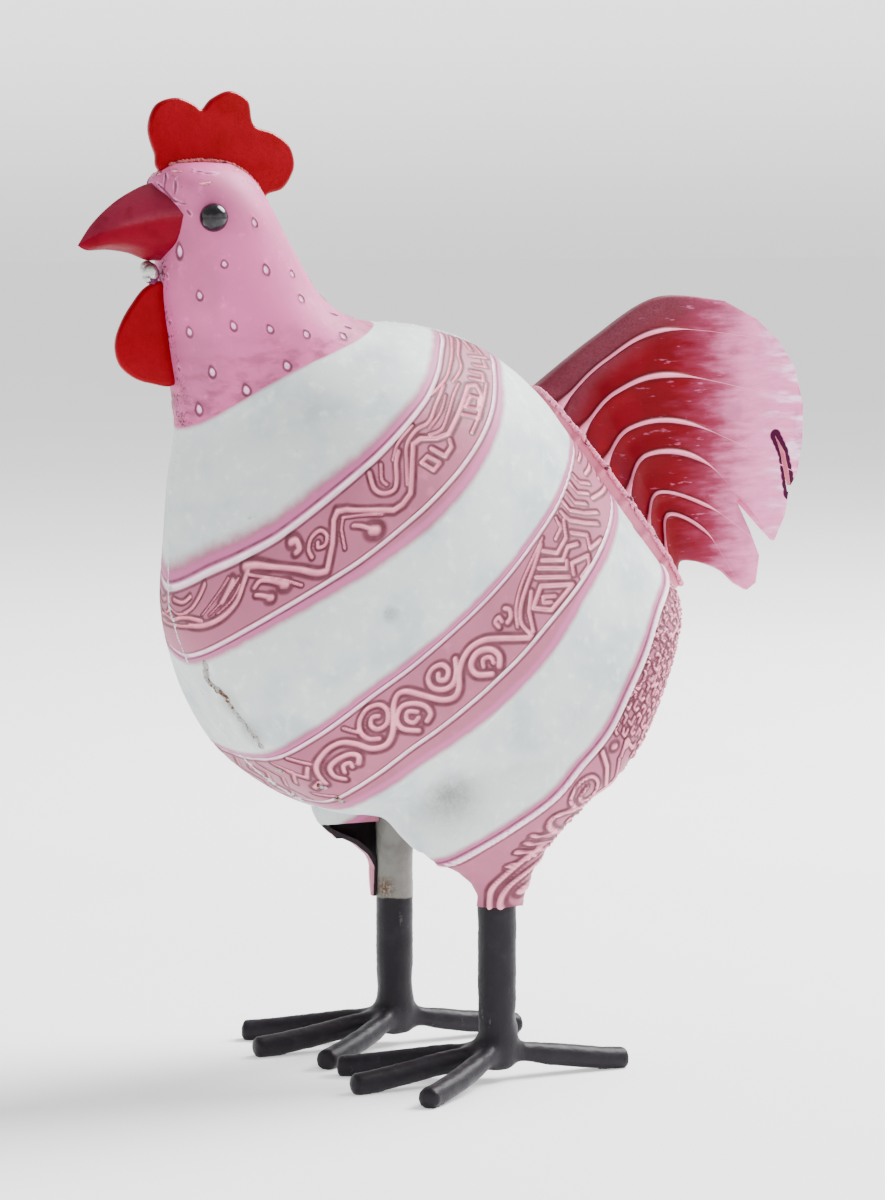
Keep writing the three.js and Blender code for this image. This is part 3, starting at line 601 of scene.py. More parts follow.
# Punched marks on the neck: line, around, half width in mm and length as a share of it
NECK_MARKS = [
    (4.38, 0.145, 1, 1.9), (4.78, 0.352, 0.85, 1.1), (4.98, 0.54, 0.95, 1.4),
    (5.15, 0.685, 0.8, 1.2), (3.5, 0.565, 0.8, 1.4), (5.78, 0.217, 0.85, 1.4),
    (6.8, 0.133, 0.9, 1.4), (6.83, 0.31, 0.8, 1.6), (7.08, 0.438, 0.8, 1.4),
    (7.38, 0.562, 0.9, 1.2), (7.48, 0.185, 0.95, 1.5), (7.86, 0.438, 1, 1.3),
    (7.9, 0.283, 1.05, 1.4), (7.83, 0.107, 1.1, 1.4), (6.1, 0.66, 0.9, 1.2),
    (6.2, 0.86, 0.9, 1.3), (7.2, 0.92, 0.9, 1.3), (7.7, 0.7, 0.9, 1.3), (5.4, 0.9, 0.9, 1.2),
]
REAR_START = 17.35  # the line from which the rump's own relief begins
CREASE_HALF = 0.4
# Creases and nicks in the neck's sheet, as line and around
CREASES = [
    [(1.9, 0.06), (2.3, 0.12), (2.75, 0.16), (2.9, 0.23)],
    [(1.5, 0.2), (2.1, 0.2), (2.5, 0.18)],
    [(1.2, 0.1), (1.7, 0.13), (2.3, 0.12)],
    [(0.9, 0.3), (1.2, 0.42), (1.1, 0.5)],
    [(3.1, 0.22), (3.3, 0.24)],
    [(6.82, 0.76), (7, 0.79)],
    [(7.42, 0.75), (7.6, 0.77)],
    [(5.1, 0.05), (5.2, 0.065)],
    [(6.5, 0.045), (6.6, 0.05)],
    [(7.3, 0.05), (7.36, 0.055)],
]


def neck_facts(line, around, points):
    """Distance from the nearest punched mark and crease, as shares of their half widths."""
    near = np.stack([points[:, 0], -np.abs(points[:, 1]), points[:, 2]], 1)
    mark, crease = np.full(line.shape, FAR), np.full(line.shape, FAR)
    for at, turn, half, length in NECK_MARKS:
        centre, below = SKIN.point(np.array([at, at + 0.05]), np.array([turn, turn]))
        down = (below - centre) / np.linalg.norm(below - centre)
        apart = near - centre
        high = apart @ down
        wide = np.linalg.norm(apart - high[:, None] * down, axis=1) / half
        high = high / (half * length)
        mark = np.minimum(mark, np.hypot(high, wide * (1 + 0.35 * np.clip(-high, 0, 1.5))))
    for stroke in CREASES:
        places = between(np.array(stroke), np.linspace(0, len(stroke) - 1, 12 * len(stroke)))
        path = SKIN.point(places[:, 0], places[:, 1])
        width = CREASE_HALF * np.sin(np.pi * np.linspace(0.12, 0.88, len(path)))
        for point, half in zip(path, width):
            crease = np.minimum(crease, np.linalg.norm(near - point, axis=1) / half)
    return mark, crease


def nearer(ridge, where, u, v, chosen, strokes):
    """The ridge distance, made smaller where a band's own ridges lie nearer."""
    found = np.full(ridge.shape, FAR)
    found[chosen] = stroke_distance(u[chosen], v[chosen], strokes)
    return np.where(where, np.minimum(ridge, found), ridge)


def describe(line, around, points):
    """What is painted and raised at a place of the skin: attributes by name."""
    paint = np.clip((SEAMS[1] - line) * COLLAR_STEP, -PAINT_REACH, PAINT_REACH)
    ridge, rib = np.full(line.shape, FAR), np.full(line.shape, 6.0)
    for band, strokes in zip(BANDS, (BAND_1, BAND_2)):
        first, last = band["lines"]
        u = around * band["length"]
        v = (line - first) / (last - first) * band["depth"]
        upper, lower = along(band["upper"], u), along(band["lower"], u)
        inside = np.minimum(v - upper + UPPER_MARGIN, lower + along(band["margin"], u) - v)
        paint = np.maximum(paint, inside)
        within = (v > upper + RIB_CLEARANCE) & (v < lower - RIB_CLEARANCE)
        ridge = nearer(ridge, within, u, v, (inside > -2) & (inside < 60), strokes)
        rib = np.minimum(rib, np.minimum(np.abs(v - upper), np.abs(v - lower)) / RIB_HALF)
    across, below = rear_chart(points)
    rear = (line > REAR_START) & (below > -12)
    paint = np.where(rear, np.maximum(paint, below + UPPER_MARGIN), paint)
    rib = np.where(rear, np.minimum(rib, np.abs(below) / REAR_RIB_HALF), rib)
    inner = rear & (below > 1)
    ridge = nearer(ridge, inner, across, below, inner, REAR_STROKES)
    mark, crease = np.full(line.shape, FAR), np.full(line.shape, FAR)
    neck = line < SEAMS[1] + 0.1
    mark[neck], crease[neck] = neck_facts(line[neck], around[neck], points[neck])
    return {
        "front": smooth_step(0.09, 0.02, around), "line": line,
        "paint": np.clip(paint, -PAINT_REACH, PAINT_REACH), "ridge": ridge, "rib": rib,
        "mark": mark, "crease": crease,
    }


def dents(points):
    """How far the plain sheet lies below the drawn skin, which is its highest level."""
    return DENT * (waves(points, DENT_LENGTH, 3) - 1)


def raised(facts, points):
    """How far the relief stands off the plain skin."""
    height = np.maximum(
        RIDGE_HEIGHT * ridge_height(facts["ridge"]), RIB_HEIGHT * ridge_height(facts["rib"])
    )
    mark = facts["mark"]
    groove = ridge_height(np.abs(mark - 1.4) * 3)
    height += MARK_HEIGHT * ridge_height(mark) - MARK_GROOVE * groove
    height -= CREASE_DEPTH * ridge_height(facts["crease"])
    return height + dents(points)


# Meshes


def add_object(name, data):
    item = bpy.data.objects.new(name, data)
    bpy.context.scene.collection.objects.link(item)
    return item


def add_mesh(name, points, faces, attributes=None, smooth=True):
    """A mesh object in the model's frame from drawn points."""
    mesh = bpy.data.meshes.new(name)
    mesh.from_pydata(to_frame(points).tolist(), [], [tuple(map(int, face)) for face in faces])
    mesh.update()
    piece = add_object(name, mesh)
    set_values(piece, **(attributes or {}))
    if smooth:
        mesh.shade_smooth()
    return piece


def face_outwards(piece):
    work = bmesh.new()
    work.from_mesh(piece.data)
    bmesh.ops.remove_doubles(work, verts=work.verts, dist=1e-7)
    bmesh.ops.recalc_face_normals(work, faces=work.faces)
    if work.calc_volume(signed=True) < 0:
        bmesh.ops.reverse_faces(work, faces=work.faces)
    work.to_mesh(piece.data)
    work.free()
    piece.data.update()
    return piece


def ring_faces(rows, columns):
    """Quads of a closed tube of rows with the given number of columns."""
    row, column = np.meshgrid(np.arange(rows - 1), np.arange(columns), indexing="ij")
    after = (column + 1) % columns
    corners = [row * columns + column, row * columns + after]
    corners += [(row + 1) * columns + after, (row + 1) * columns + column]
    return np.stack(corners, -1).reshape(-1, 4).tolist()


def fan(ring, pole, flipped=False):
    ends = list(zip(ring, ring[1:] + ring[:1]))
    return [(b, a, pole) if flipped else (a, b, pole) for a, b in ends]


def tube(name, rings, poles, attributes=None):
    """A closed piece over rings of equal length, with a point closing each end."""
    rings = np.asarray(rings, float)
    rows, columns = rings.shape[:2]
    points = np.concatenate([rings.reshape(-1, 3), np.asarray(poles, float)])
    faces = ring_faces(rows, columns)
    faces += fan(list(range(columns)), rows * columns, flipped=True)
    faces += fan(list(range((rows - 1) * columns, rows * columns)), rows * columns + 1)
    values = {}
    for key, grid in (attributes or {}).items():
        values[key] = np.concatenate([grid.ravel(), (grid[0].mean(), grid[-1].mean())])
    return face_outwards(add_mesh(name, points, faces, values))


def both_sides(half):
    """The whole ring from a near half that begins and ends on the middle plane."""
    other = half[:, -2:0:-1].copy()
    if half.ndim == 3:
        other[..., 1] *= -1
    return np.concatenate([half, other], axis=1)


def carve(piece, other, operation):
    """Joins or cuts a piece with another, which is then removed."""
    cut = piece.modifiers.new(operation.title(), "BOOLEAN")
    cut.operation = operation
    cut.solver = "MANIFOLD"
    cut.object = other
    bake(piece)
    bpy.data.objects.remove(other)
    return piece


def evaluated(piece):
    """A plain mesh of what a piece's modifiers or curve settings make of it."""
    graph = bpy.context.evaluated_depsgraph_get()
    return bpy.data.meshes.new_from_object(piece.evaluated_get(graph), depsgraph=graph)


def bake(piece):
    """Turns a piece with modifiers into a plain mesh."""
    mesh = evaluated(piece)
    if not len(mesh.polygons):
        raise RuntimeError(f"{piece.name} has no faces left")
    piece.modifiers.clear()
    piece.data = mesh
    return piece


def read(items, key, width=3, kind=float):
    """One field of a mesh's vertices, edges or attribute, as rows of this width."""
    values = np.empty(len(items) * width, kind)
    items.foreach_get(key, values)
    return values.reshape(-1, width)


def points_of(piece):
    """A piece's vertices in drawn millimetres."""
    return read(piece.data.vertices, "co") / MM + ORIGIN


def vertex_normals(piece):
    return read(piece.data.vertex_normals, "vector")


def edge_ends(piece):
    return read(piece.data.edges, "vertices", 2, int).T


def move_points(piece, points):
    piece.data.vertices.foreach_set("co", to_frame(points).ravel())
    piece.data.update()


def set_values(piece, **values):
    """Stores attributes, each a number for all vertices or an array with one for each."""
    for key, found in values.items():
        layer = piece.data.attributes.get(key) or piece.data.attributes.new(key, "FLOAT", "POINT")
        found = np.full(len(piece.data.vertices), np.ravel(found), np.float32)
        layer.data.foreach_set("value", found)


def sharpen(piece):
    """Leaves edges sharper than SHARP out of the round shading."""
    piece.data.set_sharp_from_angle(angle=math.radians(SHARP))


def relax(piece, weight, rounds):
    """Evens out a piece's surface where weight is above zero."""
    a, b = edge_ends(piece)
    points = points_of(piece)
    count = len(points)
    degree = np.bincount(a, minlength=count) + np.bincount(b, minlength=count)
    for _ in range(rounds):
        mean = np.stack([
            np.bincount(a, points[b, k], count) + np.bincount(b, points[a, k], count)
            for k in range(3)
        ], 1) / degree[:, None]
        points = points + (mean - points) * (RELAX_SHARE * weight)[:, None]
    move_points(piece, points)


def skin_piece(name, first, last, lines, columns):
    """A closed length of the body's skin with its relief, between two lines."""
    line, around = np.meshgrid(lines, np.linspace(0, 1, columns + 1), indexing="ij")
    points = SKIN.point(line, around)
    flat = points.reshape(-1, 3)
    facts = describe(line.ravel(), around.ravel(), flat)
    out = SKIN.normal(line.ravel(), around.ravel())
    points = (flat + out * raised(facts, flat)[:, None]).reshape(points.shape)
    points[:, [0, -1], 1] = 0
    grids = {key: both_sides(values.reshape(line.shape)) for key, values in facts.items()}
    rings = both_sides(points)
    inwards = rings[len(rings) // 2].mean(0)
    poles = []
    for end, pole in ((0, CROWN), (-1, RUMP)):
        at_end = (first, last)[end] in (SEAMS[0], SEAMS[-1])
        middle = rings[end].mean(0)
        shift = inwards - middle
        poles.append(pole if at_end else middle + POLE_DEPTH * shift / np.linalg.norm(shift))
    piece = tube(name, rings, poles, grids)
    sharpen(piece)
    return piece


def finish_piece(piece, nodes, slot, paint=None):
    piece.data.materials.clear()
    piece.data.materials.append(material(paint or slot))
    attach(piece, "root")
    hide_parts(*([nodes] if isinstance(nodes, str) else nodes))
    return piece


# Rows of weld beads by name: node, slot, paint, radius and spacing, and seed
WELDS = {
    "breast_weld_beads": ("body", "body_paint", "crack_weld", 1.7, 1.5, 11),
    "weld_bit_1": ("body", "body_paint", "crack_weld", 0.9, 0.9, 20),
    "weld_bit_2": ("body", "body_paint", "crack_weld", 0.9, 0.9, 21),
    "weld_bit_3": ("body", "body_paint", "crack_weld", 0.9, 0.9, 22),
    "front_seam_beads": ("body", "body_paint", "seam_weld", 0.8, 0.9, 31),
    "back_seam_beads": ("body", "body_paint", "seam_weld", 0.8, 0.9, 32),
    "left_comb_weld_beads": ("comb", "red_gloss", "comb_weld", 0.8, 0.7, 41),
    "right_comb_weld_beads": ("comb", "red_gloss", "comb_weld", 0.8, 0.7, 42),
    "left_tail_weld_beads": ("tail", "tail_paint", "root_weld", 0.9, 0.75, 51),
    "right_tail_weld_beads": ("tail", "tail_paint", "root_weld", 0.9, 0.75, 52),
    "throat_solder_lumps": ("throat_solder", "solder", "solder", 2.3, 1.6, 61),
    "wattle_stem_beads": ("wattle", "red_gloss", "purple_weld", 1.5, 0.8, 62),
}


def weld(name, path):
    """Overlapping lumps of weld metal along a path."""
    node, slot, paint, radius, spacing, seed = WELDS[name]
    growth = Growth(name, {"Radius": radius * MM, "Spacing": spacing * MM})
    source = growth.source
    curve = growth.node("GeometryNodeMeshToCurve", None, {"Mesh": source["Geometry"]}).outputs[0]
    inputs = {"Curve": curve, "Length": source["Spacing"]}
    curve = growth.node("GeometryNodeResampleCurve", {"mode": "LENGTH"}, inputs).outputs[0]
    inputs = {"Radius": source["Radius"], "Subdivisions": 2}
    lump = growth.node("GeometryNodeMeshIcoSphere", None, inputs).outputs["Mesh"]
    lump = growth.node("GeometryNodeSetShadeSmooth", None, {"Geometry": lump}).outputs[0]
    inputs = {
        "Points": curve, "Instance": lump,
        "Rotation": growth.random((0, 0, 0), (math.tau, math.tau, math.tau), seed),
        "Scale": growth.random((0.75, 0.75, 0.6), (1.25, 1.15, 1.1), seed + 1),
    }
    lumps = growth.node("GeometryNodeInstanceOnPoints", None, inputs).outputs[0]
    growth.end(lumps, material(paint))
    mesh = bpy.data.meshes.new(name)
    edges = [(k, k + 1) for k in range(len(path) - 1)]
    mesh.from_pydata(to_frame(path).tolist(), edges, [])
    finish_piece(growth.grow(add_object(name, mesh)), node, slot, paint)


# Thighs


def thigh_table(side):
    radius = LEG_DIAMETER / 2 + GAP + SHEET
    half = LEG_SPACING / 2
    hem = [THIGH_HEM[side], LEG_X - radius, LEG_X + radius, half + radius, half - radius]
    return np.array([hem, *THIGH])


def circle(segments):
    return np.linspace(0, 2 * np.pi, segments, endpoint=False)


def thigh_rings(side, heights, inset=0, segments=150):
    table = thigh_table(side)
    angle = circle(segments)
    along_x, along_y = (
        np.sign(wave) * np.abs(wave) ** (2 / THIGH_ROUNDNESS)
        for wave in (np.cos(angle), np.sin(angle))
    )
    rings = []
    for height in heights:
        front, rear, outer, inner = (
            np.interp(height, table[:, 0], column) for column in table[:, 1:].T
        )
        x = along_x * ((rear - front) / 2 - inset) + (front + rear) / 2
        y = along_y * ((outer - inner) / 2 - inset) + (outer + inner) / 2
        rings.append(np.stack([x, y * side, np.full(segments, height + inset)], 1))
    return np.array(rings)


def capped(name, rings):
    return tube(name, rings, [rings[0].mean(0), rings[-1].mean(0)])


def upright(name, radius, low, high, centre, segments=48):
    angle = circle(segments)
    x, y = centre[0] + radius * np.cos(angle), centre[1] + radius * np.sin(angle)
    rings = [np.stack([x, y, np.full(segments, height)], 1) for height in (low, high)]
    return capped(name, np.array(rings))


def box_piece(name, low, high):
    ends = (low, high)
    corners = [[ends[k][axis] for axis, k in enumerate(pick)] for pick in np.ndindex(2, 2, 2)]
    faces = [(0, 1, 3, 2), (4, 6, 7, 5), (0, 4, 5, 1), (2, 3, 7, 6), (0, 2, 6, 4), (1, 5, 7, 3)]
    return face_outwards(add_mesh(name, corners, faces, smooth=False))


# Materials


class Nodes:
    """A node tree, filled by one method."""

    def __init__(self, tree):
        self.tree = tree

    def node(self, kind, settings=None, inputs=None):
        node = self.tree.nodes.new(kind)
        for key, value in (settings or {}).items():
            setattr(node, key, value)
        for key, value in (inputs or {}).items():
            socket = node.inputs[key]
            if isinstance(value, Value):
                self.tree.links.new(value.socket, socket)
            elif isinstance(value, bpy.types.NodeSocket):
                self.tree.links.new(value, socket)
            else:
                socket.default_value = value
        return node


class Value:
    """A number in a node tree that takes ordinary arithmetic."""

    def __init__(self, nodes, socket):
        self.nodes, self.socket = nodes, socket

    def maths(self, operation, *others, clamp=False):
        settings = {"operation": operation, "use_clamp": clamp}
        node = self.nodes.node("ShaderNodeMath", settings, dict(enumerate((self, *others))))
        return Value(self.nodes, node.outputs[0])

    def __add__(self, other):
        return self.maths("ADD", other)

    def __sub__(self, other):
        return self.maths("SUBTRACT", other)

    def __rsub__(self, other):
        return self.maths("MULTIPLY", -1).maths("ADD", other)

    def __mul__(self, other):
        return self.maths("MULTIPLY", other)

    __radd__ = __add__
    __rmul__ = __mul__

    def clamped(self):
        return self.maths("ADD", 0, clamp=True)

    def rise(self, low, high):
        """0 below low and 1 above high, softly, or the other way round where low is the higher."""
        ends = (low, high, 0, 1) if low < high else (high, low, 1, 0)
        names = ("From Min", "From Max", "To Min", "To Max")
        inputs = {"Value": self, **dict(zip(names, ends))}
        node = self.nodes.node("ShaderNodeMapRange", {"interpolation_type": "SMOOTHSTEP"}, inputs)
        return Value(self.nodes, node.outputs["Result"])


def linear(red, green, blue):
    """A colour as it reads in a picture, 0 to 255, in the renderer's own numbers."""
    channels = [value / 255 for value in (red, green, blue)]
    return (*(((c + 0.055) / 1.055) ** 2.4 if c > 0.04045 else c / 12.92 for c in channels), 1)


SHADER_INPUTS = {
    "roughness": "Roughness",
    "metallic": "Metallic",
    "specular": "Specular IOR Level",
    "specular_tint": "Specular Tint",
    "glow": "Emission Color",
    "glow_strength": "Emission Strength",
    "coat": "Coat Weight",
    "coat_roughness": "Coat Roughness",
}


class Finish(Nodes):
    """A material built up in coats from the object's own coordinates and attributes."""

    def __init__(self, name, **constants):
        self.material = bpy.data.materials.new(name)
        self.material.use_nodes = True
        super().__init__(self.material.node_tree)
        self.shader = self.tree.nodes["Principled BSDF"]
        for key, value in constants.items():
            self.shader.inputs[SHADER_INPUTS[key]].default_value = value
        self.colour = None
        self.place = self.node("ShaderNodeTexCoord").outputs["Object"]

    def attribute(self, name):
        node = self.node("ShaderNodeAttribute", {"attribute_name": name})
        return Value(self, node.outputs["Fac"])

    def noise(self, size, detail=3, stretch=None):
        """Noise of about this size in mm, from 0 to 1."""
        place = self.place
        if stretch:
            mapping = self.node("ShaderNodeMapping", None, {"Vector": place, "Scale": stretch})
            place = mapping.outputs["Vector"]
        inputs = {"Vector": place, "Scale": 1 / (size * MM), "Detail": detail, "Roughness": 0.55}
        return Value(self, self.node("ShaderNodeTexNoise", None, inputs).outputs["Fac"])

    def axis(self, name):
        """A coordinate in metres."""
        return Value(self, self.node("ShaderNodeSeparateXYZ", None, {0: self.place}).outputs[name])

    def near(self, point, reach):
        """1 at a drawn point, falling to 0 at reach mm from it."""
        settings = {"operation": "DISTANCE"}
        inputs = {0: self.place, 1: tuple(to_frame(point))}
        apart = Value(self, self.node("ShaderNodeVectorMath", settings, inputs).outputs["Value"])
        return apart.rise(reach * MM, 0)

    def coat(self, colour, amount=None):
        """Lays a colour over what is there by amount."""
        if amount is None:
            self.colour = linear(*colour)
            return
        inputs = {0: amount.clamped(), 6: self.colour, 7: linear(*colour)}
        self.colour = self.node("ShaderNodeMix", {"data_type": "RGBA"}, inputs).outputs[2]

    def bump(self, height, depth, strength=1.0):
        """Fine relief of about this depth in mm."""
        inputs = {"Height": height, "Distance": depth * MM, "Strength": strength}
        bumps = self.node("ShaderNodeBump", None, inputs)
        self.tree.links.new(bumps.outputs["Normal"], self.shader.inputs["Normal"])

    def vary(self, name, value):
        self.tree.links.new(value.clamped().socket, self.shader.inputs[name])

    def done(self):
        self.tree.links.new(self.colour, self.shader.inputs["Base Color"])
        return self.material


class Growth(Nodes):
    """Geometry nodes that grow from a carrier mesh, with named sizes."""

    def __init__(self, name, sizes):
        super().__init__(bpy.data.node_groups.new(name, "GeometryNodeTree"))
        sockets = self.tree.interface
        sockets.new_socket("Geometry", in_out="INPUT", socket_type="NodeSocketGeometry")
        self.sizes = {}
        for key, value in sizes.items():
            socket = sockets.new_socket(key, in_out="INPUT", socket_type="NodeSocketFloat")
            socket.default_value = value
            self.sizes[key] = (socket.identifier, value)
        sockets.new_socket("Geometry", in_out="OUTPUT", socket_type="NodeSocketGeometry")
        self.source = self.node("NodeGroupInput").outputs

    def random(self, low, high, seed):
        inputs = {0: low, 1: high, "Seed": seed}
        settings = {"data_type": "FLOAT_VECTOR"}
        return self.node("FunctionNodeRandomValue", settings, inputs).outputs["Value"]

    def end(self, geometry, material):
        real = self.node("GeometryNodeRealizeInstances", None, {"Geometry": geometry}).outputs[0]
        inputs = {"Geometry": real, "Material": material}
        dressed = self.node("GeometryNodeSetMaterial", None, inputs).outputs[0]
        self.node("NodeGroupOutput", None, {"Geometry": dressed})

    def grow(self, carrier):
        """The carrier, turned into what the tree makes of it."""
        modifier = carrier.modifiers.new(self.tree.name, "NODES")
        modifier.node_group = self.tree
        for identifier, value in self.sizes.values():
            modifier[identifier] = value
        return bake(carrier)


def body_paint():
    finish = Finish("body paint", roughness=0.5, specular=0.2)
    names = ("line", "paint", "ridge", "rib", "mark", "crease", "inner")
    line, paint, ridge, rib, mark, crease, inner = (finish.attribute(key) for key in names)
    cloud, grain, speck = finish.noise(26, 4), finish.noise(4, 3), finish.noise(0.9, 2)
    scuff = finish.noise(7, 4, (1, 1, 2.2))
    finish.coat((207, 214, 214))
    finish.coat((173, 186, 191), cloud.rise(0.42, 0.7) * 0.8)
    finish.coat((245, 251, 242), grain.rise(0.5, 0.8) * 0.45)
    finish.coat((124, 127, 124), speck.rise(0.68, 0.8) * 0.35)
    finish.coat((112, 114, 109), scuff.rise(0.7, 0.78) * grain.rise(0.45, 0.6) * 0.5)
    for point, reach in DIRT:
        finish.coat((82, 82, 77), finish.near(point, reach) * (grain * 0.9 + speck * 0.5 - 0.2))
    edge = paint + (grain - 0.5) * 1.3
    painted = edge.rise(-1.6, 1)
    neck = line.rise(8.02, 7.98)
    body = 1 - neck
    finish.coat((170, 95, 122), painted)
    finish.coat((146, 84, 103), painted * cloud.rise(0.4, 0.7) * 0.6)
    finish.coat((203, 114, 142), painted * grain.rise(0.55, 0.8) * 0.4)
    finish.coat((200, 102, 159), edge.rise(0.2, 1.2) * edge.rise(3.4, 1.8) * body * 0.6)
    finish.coat((207, 97, 151), neck * 0.95)
    finish.coat((173, 88, 125), neck * cloud.rise(0.42, 0.66) * 0.7)
    finish.coat((254, 115, 196), neck * grain.rise(0.56, 0.8) * 0.4)
    # Darker patches low on the neck towards the collar: partly uneven paint, partly painted shade
    # of the lower neck.
    finish.coat((102, 54, 65), neck * line.rise(6.8, 8.0) * scuff.rise(0.4, 0.7) * 0.6)
    shadow = rib.rise(1.0, 1.25) * rib.rise(2.0, 1.5) * body
    finish.coat((79, 39, 48), shadow * (grain * 0.8 + 0.3))
    # Darker paint beside each ridge of the bands: painted shade at the ridges' feet.
    groove = ridge.rise(0.95, 1.3) * ridge.rise(3.1, 2.0) * body
    finish.coat((79, 34, 41), groove * (grain * 0.6 + 0.55))
    finish.coat((255, 165, 183), ridge.rise(1.0, 0.45) * body * (grain * 0.9 + 0.35))
    finish.coat((255, 233, 245), rib.rise(1.0, 0.5) * body * (grain * 0.7 + 0.5))
    # Round each punched mark a dark ring, painted shade in its groove; its pale middle is partly a
    # painted highlight on the raised mark.
    outline = mark.rise(0.9, 1.1) * mark.rise(1.9, 1.4) * neck
    finish.coat((79, 43, 49), outline * (grain * 0.8 + 0.35))
    finish.coat((255, 196, 239), mark.rise(1.0, 0.6) * neck * (speck * 0.8 + 0.5))
    # Dark inside each crease: painted shade in the dent.
    finish.coat((73, 36, 44), crease.rise(1.3, 0.7) * neck * (grain * 0.6 + 0.4))
    beside = crease.rise(1.2, 1.6) * crease.rise(3.2, 2.0) * neck
    finish.coat((255, 170, 226), beside * grain.rise(0.4, 0.6) * 0.45)
    flaked = line.rise(0.2, 0.6) * line.rise(3, 2) * neck
    finish.coat((255, 167, 165), flaked * scuff.rise(0.6, 0.68) * 0.8)
    finish.coat((91, 51, 56), flaked * scuff.rise(0.6, 0.62) * scuff.rise(0.66, 0.63) * 0.6)
    front = finish.attribute("front") * neck
    finish.coat((74, 38, 44), front * speck.rise(0.5, 0.62) * scuff.rise(0.35, 0.6))
    # Near black inside the hollow thighs: dark inner faces of the half shells, deepened as painted
    # shade.
    finish.coat((24, 15, 21), inner.rise(0.3, 0.7))
    finish.bump(grain + speck * 0.35, 0.12, 0.5)
    finish.vary("Roughness", 0.42 + cloud * 0.2)
    return finish.done()


def red_gloss():
    finish = Finish(
        "red gloss", roughness=0.26, specular_tint=(1, 0.03, 0.05, 1), coat=0.04, coat_roughness=0.1
    )
    cloud, grain = finish.noise(9, 3), finish.noise(1.6, 3)
    finish.coat((120, 1, 16))
    finish.coat((108, 1, 4), cloud.rise(0.4, 0.7) * 0.7)
    finish.coat((85, 1, 1), grain.rise(0.62, 0.78) * 0.6)
    finish.coat((134, 5, 36), grain.rise(0.4, 0.3) * cloud.rise(0.5, 0.7) * 0.6)
    finish.bump(cloud + grain * 0.4, 0.5, 0.6)
    return finish.done()


def beak_paint():
    finish = Finish("beak paint", roughness=0.4, specular=0.25, specular_tint=(1, 0.15, 0.2, 1))
    cloud, grain = finish.noise(6, 3), finish.noise(1.2, 3)
    finish.coat((108, 3, 25))
    finish.coat((123, 35, 57), finish.attribute("upper") * (0.5 + cloud * 0.5))
    finish.coat((85, 1, 7), cloud.rise(0.5, 0.75) * 0.5)
    # Pale line along the crease on each side of the beak: a painted highlight.
    finish.coat((153, 68, 86), finish.attribute("fold") * (grain * 0.5 + 0.15))
    finish.bump(grain, 0.2, 0.5)
    return finish.done()


def tail_paint():
    finish = Finish("tail paint", roughness=0.42, specular=0.2, specular_tint=(1, 0.15, 0.2, 1))
    run, place, rib = (finish.attribute(key) for key in ("run", "place", "rib"))
    cloud, grain, fine = finish.noise(16, 4), finish.noise(1.5, 3), finish.noise(0.7, 2)
    streak = finish.noise(4, 4, (0.3, 1, 1.5))
    scratch = finish.noise(1.6, 3, (0.22, 1, 1.1))
    finish.coat((104, 1, 15))
    finish.coat((91, 1, 10), cloud.rise(0.4, 0.65) * 0.8)
    # Greyed maroon over the upper feathers near the root: painted shade of the tail's rounded top,
    # with darker patches in it.
    upper_shade = (place + run * 1.1 + (cloud - 0.5) * 0.9).rise(2.2, 1.1) * (cloud * 0.5 + 0.65)
    finish.coat((98, 53, 65), upper_shade * (grain * 0.5 + 0.6))
    finish.coat((73, 29, 43), upper_shade * fine.rise(0.4, 0.7) * 0.6)
    finish.coat((80, 6, 26), run.rise(0.3, 0.05) * cloud.rise(0.35, 0.6) * 0.7)
    rear = (finish.axis("X") - 0.096) * 8
    worn = 0.7 + rear + (streak - 0.5) * 0.2 + (cloud - 0.5) * 0.12
    finish.coat((138, 52, 81), worn.rise(0.56, 0.72) * 0.75)
    finish.coat((232, 134, 181), worn.rise(0.66, 0.84) * (scratch * 0.5 + 0.62))
    finish.coat((159, 86, 122), worn.rise(0.7, 0.8) * cloud.rise(0.5, 0.7) * 0.6)
    finish.coat((255, 224, 254), worn.rise(0.84, 1.0) * streak.rise(0.4, 0.7) * 0.8)
    finish.coat((204, 112, 153), scratch.rise(0.62, 0.72) * worn.rise(0.3, 0.66) * 0.45)
    # Dark purple on and round the slit: painted shade of the gap.
    for x, z in SLIT + SLIT_SHADE_POINTS:
        finish.coat((47, 1, 38), finish.near((x, 0, z), 6).rise(0.43, 0.54))
    # Dark line beside each rib: painted shadow, fading where the paint is worn pale.
    finish.coat((59, 1, 4), rib.rise(0.9, 1.15) * rib.rise(2.4, 1.3) * worn.rise(0.8, 0.6) * 0.7)
    finish.coat((231, 137, 167), rib.rise(1.05, 0.5) * (grain * 0.4 + 0.7))
    finish.coat((211, 122, 148), run.rise(0.022, 0.0))
    finish.bump(streak + grain * 0.3, 0.25, 0.5)
    finish.vary("Roughness", 0.36 + streak * 0.2)
    return finish.done()


